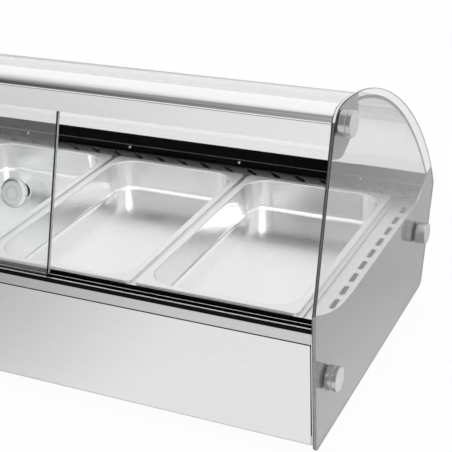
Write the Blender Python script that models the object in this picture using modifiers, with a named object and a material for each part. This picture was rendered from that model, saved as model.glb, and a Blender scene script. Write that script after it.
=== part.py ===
"""Heated display case for a counter: three full-size pans under a bent customer glass.

Lengths are metres, +Z is up. +X runs along the case, -Y is the operator's side with
the two sliding glass doors, +Y is the customer's side. The origin is on the table,
under the middle of the case.
"""
import math

import bmesh
import bpy
from mathutils import Matrix, Vector
from mathutils.geometry import interpolate_bezier

# Gaps and stock
TOUCH_GAP = 0.0003          # between pieces that seat on each other
OVERRUN = 0.002             # how far a cutter runs past the face it cuts
WELD = 0.000001             # merge distance for doubled vertices
SHEET = 0.0015              # folded steel sheet
LEAN = math.radians(17.5)   # lean of the sliding doors

# Driving sizes of the case
INNER_HALF_X = 0.5650       # inner face of each side glass
PRINT_ROOM = 0.0010         # between that glass and the steel behind its print
SIDE_CLEARANCE = 0.0030     # between that glass and the tray, tracks and deck
PANEL_FACE_X = INNER_HALF_X - PRINT_ROOM
PANE = 0.0060               # side glass and bent glass
DOOR_PANE = 0.0050          # sliding door glass
FRONT_Y = -0.3450           # plane of the operator panel
TRAY_Z = 0.0400             # underside of the base tray, the height of the feet
DECK_Z = 0.2215             # top of the deck plates
FLANGE_Z = 0.2270           # top of the pan flanges
STRIP_Z = 0.2405            # bottom of the strip above the operator panel
LEDGE_Z = 0.2610            # top of that strip, which carries the lower track
SEAM = 0.0020               # dark joint between operator panel and strip
PANEL_RETURN = 0.0200       # folded edge at the foot of the panels
PANEL_TOP_RETURN = 0.0120
WALL_Y = -0.3190            # inner wall of the strip, down to the deck
SEAT_FLANGE = 0.0140        # flange of that wall under the deck frame

# Side glass outline, in Y and Z
PANE_FRONT_Y = -0.3475
PANE_FOOT_Z = 0.0300
KNEE_Z = 0.2960             # where the front edge starts to lean back
BROW_Y = -0.2579
BROW_Z = 0.5860             # where the leaning edge rounds into the top
CROWN_Y = -0.2070
CROWN_Z = 0.6150            # highest point of the glass
BACK_Y = 0.3605
BACK_Z = 0.2390             # widest point at the customer side
HEEL_Y = 0.2870             # rear end of the foot edge
PANE_CORNER = 0.0080
BROW_PULL_SHARES = (0.45, 0.55)    # Bezier handle lengths as shares of the chord
CROWN_PULL_SHARES = (0.339, 0.280)
CROWN_FALL = 0.0065         # fall of the crown handle over its length
BACK_DIRECTION = (0.394, -0.919)
CURVE_STEPS = 22
SHORT_CURVE_STEPS = 7

# Stand-off knobs that hold the side glass
STANDOFF_R = 0.0220
STANDOFF_LENGTH = 0.0240
STANDOFF_WASHER_R = 0.0170
STANDOFF_WASHER = 0.0015
STANDOFF_CHAMFER = 0.0018
STUD_R = 0.0045
STUD_PANE_CLEARANCE = 0.0010
STUD_FIT = 0.0004
STUD_REACH = 0.0090         # inside the inner face of the glass
NUT_R = 0.0090
NUT = 0.0050
UPPER_STANDOFF = (-0.2335, 0.5880)
REAR_STANDOFF = (0.2330, 0.1805)
FRONT_STANDOFF = (-0.2970, 0.1530)

# Bent customer glass: outer face from under the rail to the rear channel
BENT_START_Y = -0.2220
BENT_START_Z = 0.6044
BENT_END_Y = 0.3210
BENT_END_Z = 0.2710
BENT_START_PULL = 0.2200
BENT_START_FALL = 0.0066    # fall over that handle
BENT_END_PULL = 0.2300
BENT_END_DIRECTION = (0.550, -0.835)

# Hood: bracket, fascia, rail
BRACKET = 0.0040
FASCIA_Y = -0.2555
FASCIA_FOOT_Z = 0.5542
RAIL_FOOT_Z = 0.5920
RAIL_DEPTH = 0.0280         # half axes of the bullnose
RAIL_RISE = 0.0170
RAIL_CREST_Y = -0.2270
RAIL_BACK_Y = -0.1960
RAIL_BACK_DROP = 0.0035
RAIL_LIP_Z = 0.6042
BRACKET_UNDER_GLASS = 0.0030
BRACKET_BACK_Y = -0.1505
BRACKET_TURN_Z = 0.5800     # where its customer edge turns in
BRACKET_LOW_Y = -0.2360
BRACKET_LOW_Z = 0.5320
BRACKET_FRONT_Z = 0.5460
BRACKET_PULL_SHARE = 0.7    # of the drop from the turn to the lowest point

# Lamp under the hood
LAMP_FRONT_Y = -0.2180
LAMP_BACK_Y = -0.1620
LAMP_TOP_Z = 0.5880
LAMP_SKIRT_Z = 0.5660
LAMP_HALF_X = PANEL_FACE_X - BRACKET - TOUCH_GAP
TUBE_R = 0.0080
TUBE_END_ROOM = 0.0297      # for the lamp holder
TUBE_HALF_X = LAMP_HALF_X - TUBE_END_ROOM
TUBE_PIN_END = 0.0040
HOLDER_HALF_Y = 0.0140
HOLDER_END_GAP = 0.0010
HOLDER_FOOT = 0.0035

# Tracks and doors
TRACK_HALF_X = INNER_HALF_X - SIDE_CLEARANCE
UPPER_TRACK_END_GAP = 0.0005
UPPER_TRACK_HALF_X = PANEL_FACE_X - BRACKET - UPPER_TRACK_END_GAP
TRACK_WEB = 0.0020
GROOVE = 0.0080
FIN = 0.0020
OUTER_FIN = 0.0015
REAR_FIN = 0.0040
FRONT_FIN_RISE = 0.0067     # above the groove floor
MIDDLE_FIN_RISE = 0.0077
REAR_FIN_RISE = 0.0112
UPPER_TRACK_FOOT_Z = 0.5740
UPPER_TRACK_CEILING_Z = 0.5900
UPPER_TRACK_WEB = 0.0025
DOOR_TOP_Z = 0.5830
DOOR_LAP = 0.0455           # each door past the middle of the case
DOOR_WIDTH = INNER_HALF_X + DOOR_LAP
DOOR_EDGE_X = 0.0540        # right edge of the front door where the photo has it
DOOR_END_GAP = 0.0005
KNOB_EDGE = 0.0558          # knob axis from the door's free edge
KNOB_HEIGHT_SHARE = 0.455   # height of the knob as a share of the door
ROSETTE_R = 0.0148
ROSETTE = 0.0040
NECK_R = 0.0085
NECK = 0.0240
DISC_R = 0.0277
DISC = 0.0140
DISC_FACE_R = 0.0225
DISC_DOME = 0.0014
DISC_BEVEL = 0.0062         # from the face back to the widest ring
DISC_EDGE = 0.0015
CROWN_SHARES = (0.6, 0.35)  # mid point of the face's dome: out and down
KNOB_STUD_R = 0.0040
KNOB_HOLE_CLEARANCE = 0.0006
PULL = 0.0012               # wall of the flush pull on the rear door
PULL_WIDTH = 0.0120
PULL_LENGTH = 0.1600

# Pans and the deck that carries them
PAN_COUNT = 3
PAN_X = 0.3250
PAN_Y = 0.5300
PAN_GAP = 0.0090
PAN_CENTRE_Y = 0.0273
PAN_DEPTH = 0.0650
PAN_WALL = 0.0010
PAN_FLANGE = 0.0150
PAN_LIP = 0.0052
PAN_CORNER = 0.0120
PAN_MOUTH_CORNER = 0.0520
PAN_TAPER = 0.0040
PAN_ROLL = 0.0015
PAN_FLOOR_FILLET = 0.0050
FILLET_SHARE = 0.3          # where the fillet's middle lies
CORNER_STEPS = 6
DECK_END_Y = 0.2960
MOUTH_OVERLAP = 0.0065      # flange seat on the deck, on every side
LIP = 0.0022                # raised white rim beside the outer pans
LIP_MARGIN = 0.0090         # from the row of pans to the middle of that rim
LIP_X = (PAN_COUNT * PAN_X + (PAN_COUNT - 1) * PAN_GAP) / 2 + LIP_MARGIN
DECK_MARGIN = 0.0023        # past the middle of the rim
DECK_HALF_X = LIP_X + DECK_MARGIN
LIP_RISE = 0.0040
REST = 0.0070               # joggled rest for the ends of the crossbars
REST_RISER = 0.0030
CROSSBAR_X = 0.0200
CROSSBAR_WEB = 0.0020
CROSSBAR_WEB_DEPTH = 0.0140
PLATE_SEAM = 0.0005
GRATE_HALF_X = TRACK_HALF_X
SIDE_SLOT_COUNT = 9
SIDE_SLOT_PITCH = 0.0516
SIDE_SLOT_LENGTH = 0.0345
SIDE_SLOT_WIDTH = 0.0098
SIDE_SLOT_CORNER = 0.0030
SIDE_SLOT_MARGIN = 0.0260   # from the grate's outer edge to the slots' middle
SIDE_SLOT_X = GRATE_HALF_X - SIDE_SLOT_MARGIN
SIDE_SLOT_CENTRE_Y = 0.0335
SLOT_STEPS = 5
SLOT_CORNER_STEPS = 2

# Rear air outlet and the black channel above it
OUTLET_FOOT_Y = 0.2990
OUTLET_TOP_Y = 0.3098
OUTLET_TOP_Z = 0.2338
OUTLET_FLANGE = 0.0150
OUTLET_SLOT_COUNT = 19
OUTLET_SLOT_PITCH = 0.0576
OUTLET_SLOT_LENGTH = 0.0250
OUTLET_SLOT_WIDTH = 0.0042
OUTLET_SLOT_TILT = math.radians(20.0)
CHANNEL_FACE_Y = 0.3105
CHANNEL_FOOT_Z = 0.2345
CHANNEL_STEP_Z = 0.2535
CHANNEL_STEP = 0.0010
CHANNEL_WALL = 0.0030
CHANNEL_LIP_Z = 0.2735
CHANNEL_SEAT_Z = 0.2608
CHANNEL_BACK_Y = 0.3325
CHANNEL_SLOT_DEPTH = 0.0075
CHANNEL_OUTER_LIP = 0.0022

# Rear panel
REAR_FOOT_Y = 0.2790
REAR_BREAK_Y = 0.3490
REAR_BREAK_Z = 0.2400
REAR_TOP_Y = 0.3345
REAR_TOP_END_Y = 0.3140

# Side panels behind the print
PANEL_SHOULDER_Z = 0.2430
PANEL_SHOULDER_END_Y = 0.2380
PANEL_BACK_RISE_Y = 0.2950
PANEL_BACK_RISE_Z = 0.2640
PANEL_BACK_TOP_Y = 0.3290
PANEL_BACK_TOP_Z = 0.2670

# Heated well
WELL_MARGIN = 0.0115
WELL_HALF_X = TRACK_HALF_X - WELL_MARGIN
WELL_FRONT_Y = -0.2980
WELL_BACK_Y = 0.2905
WELL_FLOOR_Z = 0.0900
WELL_WALL = 0.0010
WELL_RIM = 0.0060
WELL_CORNER = 0.0120
WELL_FLOOR_FILLET = 0.0080
TRAY_HALF_X = TRACK_HALF_X
TRAY_UPSTAND = 0.0200
INSULATION_MARGIN = 0.0055
INSULATION_HALF_X = WELL_HALF_X - INSULATION_MARGIN
INSULATION_FRONT_Y = -0.2900
INSULATION_BACK_Y = 0.2550
INSULATION_EDGE = 0.0030
HEATER_R = 0.0042
HEATER_Z = 0.1250
HEATER_LEG_X = 0.0600       # legs each side of the pan's middle
HEATER_BEND_Y = 0.2000
HEATER_PIN_Y = -0.3120
HEATER_HOLE_CLEARANCE = 0.0007
HEATER_BEND_STEPS = 12
RACK = 0.0020
RACK_MARGIN = 0.0120
RACK_FRONT_Y = -0.2000
RACK_REAR_Y = 0.1500
RACK_NOTCH_CLEARANCE = 0.0004
RACK_NOTCH_STEPS = 8

# Controls at the operator's left hand
DIAL_X = -0.4600
DIAL_Z = 0.1400
DIAL_R = 0.0215
DIAL_SKIRT = 0.0040
DIAL_GRIP_R = 0.0165
DIAL_HEIGHT = 0.0155
DIAL_GRIP_WIDTH = 0.0090
SPINDLE_R = 0.0030
SPINDLE_HOLE_CLEARANCE = 0.0010
DIAL_GAP = 0.0006
THERMOSTAT = 0.0380
THERMOSTAT_DEPTH = 0.0200
POWER_X = -0.3850
LIGHT_X = -0.3630
SWITCH_X = 0.0180
SWITCH_Z = 0.0300
SWITCH_BEZEL = 0.0020
SWITCH_BODY_INSET = 0.0020
SWITCH_DEPTH = 0.0180
SWITCH_FRAME = 0.0026
SWITCH_POCKET = 0.0070
ROCKER_GAP = 0.0005
ROCKER_CREST = 0.0022
ROCKER_END = 0.0042
ROCKER_BACK = 0.0030
ROCKER_BACK_END = 0.0002
ROCKER_PIVOT = 0.0008       # in front of the panel face
ROCKER_REST = math.radians(7.0)
PILOT_X = -0.3080
PILOT_R = 0.0065
PILOT_BODY_R = 0.0050
PILOT_PROUD = 0.0050
PILOT_BODY = 0.0150
PILOT_HOLE_CLEARANCE = 0.0004
SENSOR_WIRE_R = 0.0010
SENSOR_BULB_R = 0.0030
SENSOR_Z = 0.1700
SENSOR_HOLE_X = -0.4300
SENSOR_HOLE_R = 0.0040
SENSOR_BULB_START_X = -0.3650
SENSOR_BULB_END_X = -0.2850
TERMINAL_X = -0.4150
TERMINAL_POLES = 6
TERMINAL_PITCH = 0.0100
TERMINAL_WALL = 0.0030
TERMINAL_HEIGHT = 0.0180
TERMINAL_FLOOR = 0.0120
TERMINAL_FRONT_Y = -0.3200
TERMINAL_BACK_Y = -0.3020
GLAND_X = -0.5000
GLAND_Y = -0.3100
GLAND_R = 0.0115
GLAND_THREAD_R = 0.0075
GLAND_BORE_R = 0.0045
GLAND_DROP = 0.0200
GLAND_BODY_SHARE = 0.7      # of the drop, where the dome nut starts to taper
GLAND_NECK = 0.0060
GLAND_THREAD_TOP = 0.0080
GLAND_CLEARANCE = 0.0004

# Feet
FOOT_R = 0.0190
FOOT_TOP_R = 0.0150
FOOT_EDGE = 0.0020
FOOT_X = 0.4900
FOOT_FRONT_Y = -0.2650
FOOT_BACK_Y = 0.2150

ROUND_STEPS = 32
STANDOFF_STEPS = 26
SMALL_ROUND_STEPS = 20


# Scene set-up and materials

def clear_scene():
    for thing in list(bpy.data.objects):
        bpy.data.objects.remove(thing, do_unlink=True)


def new_collection(name):
    group = bpy.data.collections.new(name)
    bpy.context.scene.collection.children.link(group)
    return group


def new_material(name, colour, roughness, metallic=0.0, transmission=0.0):
    mat = bpy.data.materials.new(name)
    mat.use_nodes = True
    shader = mat.node_tree.nodes["Principled BSDF"]
    shader.inputs["Base Color"].default_value = (*colour, 1.0)
    shader.inputs["Roughness"].default_value = roughness
    shader.inputs["Metallic"].default_value = metallic
    shader.inputs["Transmission Weight"].default_value = transmission
    mat.diffuse_color = (*colour, 1.0)
    return mat


clear_scene()
PARTS = new_collection("heated_display_case")
CUTTERS = new_collection("cutters")

FINISHES = {
    "panel_steel": ((0.62, 0.62, 0.61), 0.34, 1.0),
    "deck_steel": ((0.72, 0.72, 0.72), 0.30, 1.0),
    "pan_steel": ((0.80, 0.80, 0.80), 0.24, 1.0),
    "hood_metal": ((0.80, 0.80, 0.80), 0.26, 1.0),
    "track_black": ((0.012, 0.012, 0.012), 0.38, 0.0),
    "chrome": ((0.85, 0.85, 0.86), 0.08, 1.0),
    "aluminium": ((0.60, 0.61, 0.62), 0.35, 1.0),
    "print_grey": ((0.36, 0.36, 0.35), 0.45, 0.0),
    "rubber": ((0.02, 0.02, 0.02), 0.80, 0.0),
    "plastic_black": ((0.015, 0.015, 0.015), 0.40, 0.0),
    "lamp_white": ((0.85, 0.85, 0.82), 0.40, 0.0),
    "wool": ((0.55, 0.47, 0.28), 0.95, 0.0),
    "heater_steel": ((0.20, 0.19, 0.18), 0.45, 1.0),
    "amber": ((0.85, 0.35, 0.03), 0.15, 0.0),
    "green": ((0.03, 0.42, 0.10), 0.25, 0.0),
    "glass": ((0.86, 0.90, 0.88), 0.04, 0.0, 0.9),
}


def finish(kind, name):
    return new_material(name + "_" + kind, *FINISHES[kind])


# Shape tools

AXIS_TURN = {
    "X": Matrix(((0, 0, 1, 0), (1, 0, 0, 0), (0, 1, 0, 0), (0, 0, 0, 1))),
    "Y": Matrix.Rotation(math.radians(90.0), 4, "X"),
    "Z": Matrix.Identity(4),
}
AXIS_SIGN = {"X": 1, "Y": -1, "Z": 1}


def place(name, mesh, kind, matrix=None, parent=None):
    """Put a mesh into the part as one named piece."""
    piece = bpy.data.objects.new(name, mesh)
    PARTS.objects.link(piece)
    piece.parent = parent
    if matrix is not None:
        piece.matrix_local = matrix
    mesh.materials.clear()
    mesh.materials.append(finish(kind, name))
    bpy.context.view_layer.update()
    return piece


def as_cutter(piece):
    PARTS.objects.unlink(piece)
    CUTTERS.objects.link(piece)
    piece.hide_render = True
    piece.display_type = "WIRE"
    return piece


def boolean(piece, tool, operation="DIFFERENCE"):
    as_cutter(tool)
    step = piece.modifiers.new(operation.lower(), "BOOLEAN")
    step.operation = operation
    step.solver = "EXACT"
    step.object = tool


def rounded_edges(piece, width, segments=2):
    step = piece.modifiers.new("edges", "BEVEL")
    step.width = width
    step.segments = segments
    step.limit_method = "ANGLE"
    step.angle_limit = math.radians(50.0)


def smooth(piece, angle=40.0):
    piece.data.shade_smooth()
    piece.data.set_sharp_from_angle(angle=math.radians(angle))


def extruded(name, loops, axis, low, high, kind, parent=None):
    """A flat outline with holes, given thickness along one axis.

    Along X the outline is in Y and Z, along Y in X and Z, along Z in X and Y.
    """
    outline = bpy.data.curves.new(name, "CURVE")
    outline.dimensions = "2D"
    outline.fill_mode = "BOTH"
    outline.extrude = (high - low) / 2
    for loop in loops:
        spline = outline.splines.new("POLY")
        spline.points.add(len(loop) - 1)
        spline.use_cyclic_u = True
        for point, (u, v) in zip(spline.points, loop):
            point.co = (u, v, 0.0, 1.0)
    guide = bpy.data.objects.new(name + "_outline", outline)
    PARTS.objects.link(guide)
    middle = AXIS_SIGN[axis] * (low + high) / 2
    guide.matrix_world = AXIS_TURN[axis] @ Matrix.Translation((0, 0, middle))
    return meshed(guide, name, kind, parent)


def meshed(guide, name, kind, parent=None):
    """Turn a curve into a closed mesh piece and remove the curve."""
    bpy.context.view_layer.update()
    graph = bpy.context.evaluated_depsgraph_get()
    mesh = bpy.data.meshes.new_from_object(guide.evaluated_get(graph))
    work = bmesh.new()
    work.from_mesh(mesh)
    bmesh.ops.remove_doubles(work, verts=work.verts, dist=WELD)
    bmesh.ops.recalc_face_normals(work, faces=work.faces)
    work.to_mesh(mesh)
    work.free()
    matrix = guide.matrix_world.copy()
    bpy.data.objects.remove(guide, do_unlink=True)
    mesh.name = name
    return place(name, mesh, kind, matrix, parent)


def block(name, low, high, kind, parent=None, edge=0.0):
    """A box between two corners, its edges rounded where a width is given."""
    work = bmesh.new()
    bmesh.ops.create_cube(work, size=1.0)
    size = [b - a for a, b in zip(low, high)]
    centre = [(a + b) / 2 for a, b in zip(low, high)]
    bmesh.ops.scale(work, vec=size, verts=work.verts)
    mesh = bpy.data.meshes.new(name)
    work.to_mesh(mesh)
    work.free()
    piece = place(name, mesh, kind, Matrix.Translation(centre), parent)
    if edge:
        rounded_edges(piece, edge)
    return piece


def cylinder(name, radius, low, high, centre, axis, kind, steps=SMALL_ROUND_STEPS):
    """A round bar along one axis; centre gives its place on the other two."""
    work = bmesh.new()
    bmesh.ops.create_cone(work, cap_ends=True, segments=steps, radius1=radius,
                          radius2=radius, depth=high - low)
    mesh = bpy.data.meshes.new(name)
    work.to_mesh(mesh)
    work.free()
    middle = AXIS_SIGN[axis] * (low + high) / 2
    matrix = AXIS_TURN[axis] @ Matrix.Translation((centre[0], centre[1], middle))
    return place(name, mesh, kind, matrix)


def folded_sheet(name, path, axis, low, high, thickness, kind, side=1):
    """A folded sheet: a path in the plane across the axis, swept along it.

    The sheet's thickness lies to the right of the path's direction, or to its
    left where side is -1.
    """
    work = bmesh.new()
    spin = AXIS_TURN[axis]
    ends = (AXIS_SIGN[axis] * low, AXIS_SIGN[axis] * high)
    near = [work.verts.new(spin @ Vector((u, v, ends[0]))) for u, v in path]
    far = [work.verts.new(spin @ Vector((u, v, ends[1]))) for u, v in path]
    for i in range(len(path) - 1):
        work.faces.new((near[i], near[i + 1], far[i + 1], far[i]))
    mesh = bpy.data.meshes.new(name)
    work.to_mesh(mesh)
    work.free()
    piece = place(name, mesh, kind)
    shell = piece.modifiers.new("sheet", "SOLIDIFY")
    shell.thickness = thickness
    shell.offset = side * AXIS_SIGN[axis]
    shell.use_even_offset = True
    return piece


def turned(name, profile, kind, matrix=None, parent=None, steps=ROUND_STEPS, ring=False):
    """A turned piece about its own Z; profile runs down its outer side.

    A ring's profile is a closed loop that stays clear of the axis.
    """
    work = bmesh.new()
    corners = [work.verts.new((radius, 0.0, height)) for radius, height in profile]
    for first, second in zip(corners, corners[1:]):
        work.edges.new((first, second))
    if ring:
        work.edges.new((corners[-1], corners[0]))
    mesh = bpy.data.meshes.new(name)
    work.to_mesh(mesh)
    work.free()
    piece = place(name, mesh, kind, matrix, parent)
    spin = piece.modifiers.new("turn", "SCREW")
    spin.steps = steps
    spin.render_steps = steps
    spin.use_merge_vertices = True
    spin.merge_threshold = WELD
    spin.use_smooth_shade = True
    return piece


def grouped(name, pieces, kind):
    """Join finished pieces into one node as separate solids."""
    bpy.context.view_layer.update()
    graph = bpy.context.evaluated_depsgraph_get()
    work = bmesh.new()
    for piece in pieces:
        mesh = bpy.data.meshes.new_from_object(piece.evaluated_get(graph))
        mesh.transform(piece.matrix_world)
        work.from_mesh(mesh)
        bpy.data.meshes.remove(mesh)
    mesh = bpy.data.meshes.new(name)
    work.to_mesh(mesh)
    work.free()
    for piece in pieces:
        bpy.data.objects.remove(piece, do_unlink=True)
    return place(name, mesh, kind)


def mirrored(name, source, kind):
    """A copy of a finished piece on the other side of X = 0."""
    bpy.context.view_layer.update()
    graph = bpy.context.evaluated_depsgraph_get()
    mesh = bpy.data.meshes.new_from_object(source.evaluated_get(graph))
    mesh.transform(Matrix.Scale(-1, 4, (1, 0, 0)) @ source.matrix_world)
    mesh.flip_normals()
    mesh.name = name
    return place(name, mesh, kind)


def bar_along(name, points, radii, kind, resolution=2):
    """A tube or wire through points, with a radius at each."""
    wire = bpy.data.curves.new(name, "CURVE")
    wire.dimensions = "3D"
    wire.bevel_depth = 1.0
    wire.bevel_resolution = resolution
    wire.use_fill_caps = True
    spline = wire.splines.new("POLY")
    spline.points.add(len(points) - 1)
    for point, place_of, radius in zip(spline.points, points, radii):
        point.co = (*place_of, 1.0)
        point.radius = radius
    guide = bpy.data.objects.new(name + "_line", wire)
    PARTS.objects.link(guide)
    return meshed(guide, name, kind)


# Outline tools

def arc(centre, radius, start, end, steps):
    """Points on an arc, angles in degrees, both ends included."""
    angles = [math.radians(start + (end - start) * i / steps) for i in range(steps + 1)]
    return [(centre[0] + radius * math.cos(a), centre[1] + radius * math.sin(a)) for a in angles]


def curve_points(start, start_handle, end_handle, end, steps):
    found = interpolate_bezier(*[Vector((u, v, 0)) for u, v in
                                 (start, start_handle, end_handle, end)], steps + 1)
    return [(point.x, point.y) for point in found]


def circle(centre, radius, steps=SMALL_ROUND_STEPS):
    return arc(centre, radius, 0.0, 360.0, steps)[:-1]


def rectangle(low, high):
    return [low, (high[0], low[1]), high, (low[0], high[1])]


def slot_loop(centre, length, width):
    """A slot with round ends, its long side along the second axis."""
    reach = (length - width) / 2
    top = arc((centre[0], centre[1] + reach), width / 2, 0.0, 180.0, SLOT_STEPS)
    foot = arc((centre[0], centre[1] - reach), width / 2, 180.0, 360.0, SLOT_STEPS)
    return top + foot


def rounded_rectangle(half_x, half_y, radius, steps=CORNER_STEPS):
    points = []
    corners = ((1, 1, 0.0), (-1, 1, 90.0), (-1, -1, 180.0), (1, -1, 270.0))
    for sign_x, sign_y, start in corners:
        centre = (sign_x * (half_x - radius), sign_y * (half_y - radius))
        points += arc(centre, radius, start, start + 90.0, steps)
    return points


def leaned(y, z_from, z_to):
    """Y of a line parallel to the doors, followed from one height to another."""
    return y + (z_to - z_from) * math.tan(LEAN)


# Side glass, its print and the stand-offs

def front_edge():
    """Front edge of the side glass, from its foot up to the brow."""
    foot = arc((PANE_FRONT_Y + PANE_CORNER, PANE_FOOT_Z + PANE_CORNER), PANE_CORNER,
               270.0, 180.0, SHORT_CURVE_STEPS)
    return foot + [(PANE_FRONT_Y, KNEE_Z), (BROW_Y, BROW_Z)]


def brow_curve():
    chord = math.hypot(CROWN_Y - BROW_Y, CROWN_Z - BROW_Z)
    slope = Vector((BROW_Y - PANE_FRONT_Y, BROW_Z - KNEE_Z)).normalized()
    handle = (BROW_Y + slope.x * chord * BROW_PULL_SHARES[0],
              BROW_Z + slope.y * chord * BROW_PULL_SHARES[0])
    other = (CROWN_Y - (CROWN_Y - BROW_Y) * BROW_PULL_SHARES[1], CROWN_Z)
    return curve_points((BROW_Y, BROW_Z), handle, other, (CROWN_Y, CROWN_Z), SHORT_CURVE_STEPS)


def crown_curve():
    chord = math.hypot(BACK_Y - CROWN_Y, BACK_Z - CROWN_Z)
    start_pull = chord * CROWN_PULL_SHARES[0]
    end_pull = chord * CROWN_PULL_SHARES[1]
    handle = (CROWN_Y + start_pull, CROWN_Z - CROWN_FALL)
    other = (BACK_Y - BACK_DIRECTION[0] * end_pull, BACK_Z - BACK_DIRECTION[1] * end_pull)
    return curve_points((CROWN_Y, CROWN_Z), handle, other, (BACK_Y, BACK_Z), CURVE_STEPS)


def heel():
    return [(HEEL_Y + PANE_CORNER * (BACK_Y - HEEL_Y) / (BACK_Z - PANE_FOOT_Z),
             PANE_FOOT_Z + PANE_CORNER), (HEEL_Y - PANE_CORNER, PANE_FOOT_Z)]


def pane_outline():
    return front_edge() + brow_curve()[1:] + crown_curve()[1:] + heel()


def bracket_outline():
    """End bracket of the hood: inside the rail, under the bent glass, behind the patch."""
    front = FASCIA_Y + SHEET + TOUCH_GAP
    skin = SHEET + TOUCH_GAP * 3
    nose = [(RAIL_CREST_Y + (RAIL_DEPTH - skin) * math.cos(math.radians(a)),
             RAIL_FOOT_Z + (RAIL_RISE - skin) * math.sin(math.radians(a)))
            for a in (180.0, 162.0, 144.0, 126.0, 108.0)]
    rebate_z = RAIL_FOOT_Z - TOUCH_GAP * 4
    notch_y = BENT_START_Y - TOUCH_GAP * 3
    shoulder_z = BENT_START_Z - PANE - TOUCH_GAP * 3
    back_z = bent_height(BRACKET_BACK_Y) - PANE - BRACKET_UNDER_GLASS
    drop = BRACKET_TURN_Z - BRACKET_LOW_Z
    low = (BRACKET_LOW_Y, BRACKET_LOW_Z)
    turn = (BRACKET_BACK_Y, BRACKET_TURN_Z)
    pull = (turn[0], turn[1] - drop * BRACKET_PULL_SHARE)
    under = curve_points(turn, pull, (low[0] + drop, low[1]), low, SHORT_CURVE_STEPS)
    return ([(front, BRACKET_FRONT_Z), (front, rebate_z), (nose[0][0], rebate_z)] + nose
            + [(notch_y, nose[-1][1]), (notch_y, shoulder_z), (turn[0], back_z)] + under)


def bent_path():
    start = (BENT_START_Y, BENT_START_Z)
    end = (BENT_END_Y, BENT_END_Z)
    handle = (start[0] + BENT_START_PULL, start[1] - BENT_START_FALL)
    other = (end[0] - BENT_END_DIRECTION[0] * BENT_END_PULL,
             end[1] - BENT_END_DIRECTION[1] * BENT_END_PULL)
    return curve_points(start, handle, other, end, CURVE_STEPS)


def bent_height(y):
    """Height of the bent glass's outer face at a place along Y."""
    path = bent_path()
    for first, second in zip(path, path[1:]):
        if first[0] <= y <= second[0]:
            share = (y - first[0]) / (second[0] - first[0])
            return first[1] + share * (second[1] - first[1])
    return path[-1][1]


def side_panel_outline():
    """Steel side of the base, hidden by the lower print."""
    inner_foot = TRAY_Z + SHEET + TOUCH_GAP
    slope = (REAR_BREAK_Y - REAR_FOOT_Y) / (REAR_BREAK_Z - inner_foot)
    top_front = LEDGE_Z - TOUCH_GAP
    back_foot = REAR_FOOT_Y + slope * TOUCH_GAP
    return [(FRONT_Y, inner_foot), (FRONT_Y, top_front), (WALL_Y, top_front),
            (WALL_Y, PANEL_SHOULDER_Z), (PANEL_SHOULDER_END_Y, PANEL_SHOULDER_Z),
            (PANEL_BACK_RISE_Y, PANEL_BACK_RISE_Z), (PANEL_BACK_TOP_Y, PANEL_BACK_TOP_Z),
            (REAR_BREAK_Y, REAR_BREAK_Z), (back_foot, inner_foot)]


def standoff(name, spot, reach):
    """A turned knob whose stud runs through the glass; its Z axis points outwards."""
    base = PANE + TOUCH_GAP
    washer_top = base + STANDOFF_WASHER
    top = base + STANDOFF_LENGTH
    profile = [(0.0, top), (STANDOFF_R - STANDOFF_CHAMFER, top),
               (STANDOFF_R, top - STANDOFF_CHAMFER), (STANDOFF_R, washer_top + STANDOFF_CHAMFER),
               (STANDOFF_R - STANDOFF_CHAMFER, washer_top), (STANDOFF_WASHER_R, washer_top),
               (STANDOFF_WASHER_R, base), (STUD_R, base), (STUD_R, -reach), (0.0, -reach)]
    matrix = (Matrix.Translation((INNER_HALF_X, spot[0], spot[1]))
              @ Matrix.Rotation(math.radians(90.0), 4, "Y"))
    return turned(name, profile, "chrome", matrix, steps=STANDOFF_STEPS)


def weld_nut(spot):
    outer = arc(spot, NUT_R, 0.0, 360.0, 6)[:-1]
    high = PANEL_FACE_X - SHEET / 2
    return extruded("weld_nut", [outer, circle(spot, STUD_R + STUD_FIT)], "X",
                    high - NUT, high, "panel_steel")


def build_side_glass():
    spots = {"upper": UPPER_STANDOFF, "rear": REAR_STANDOFF, "front": FRONT_STANDOFF}
    pane_holes = [circle(spot, STUD_R + STUD_PANE_CLEARANCE) for spot in spots.values()]
    glass = extruded("side_glass_right", [pane_outline()] + pane_holes, "X",
                     INNER_HALF_X, INNER_HALF_X + PANE, "glass")
    mirrored("side_glass_left", glass, "glass")

    base_spots = (REAR_STANDOFF, FRONT_STANDOFF)
    panel_holes = [circle(spot, STUD_R + STUD_FIT) for spot in base_spots]
    panel = extruded("side_panel_right", [side_panel_outline()] + panel_holes, "X",
                     PANEL_FACE_X - SHEET, PANEL_FACE_X, "panel_steel")
    for spot in base_spots:
        boolean(panel, weld_nut(spot), "UNION")
    mirrored("side_panel_left", panel, "panel_steel")

    bracket_hole = circle(UPPER_STANDOFF, STUD_R + STUD_FIT)
    bracket = extruded("hood_bracket_right", [bracket_outline(), bracket_hole], "X",
                       PANEL_FACE_X - BRACKET, PANEL_FACE_X, "aluminium")
    mirrored("hood_bracket_left", bracket, "aluminium")

    upper_reach = INNER_HALF_X - PANEL_FACE_X + BRACKET - PLATE_SEAM
    for place_name, spot in spots.items():
        reach = upper_reach if place_name == "upper" else STUD_REACH
        right = standoff("standoff_%s_right" % place_name, spot, reach)
        smooth(right)
        left = mirrored("standoff_%s_left" % place_name, right, "chrome")
        smooth(left)


# Bent glass, hood and lamp

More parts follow.
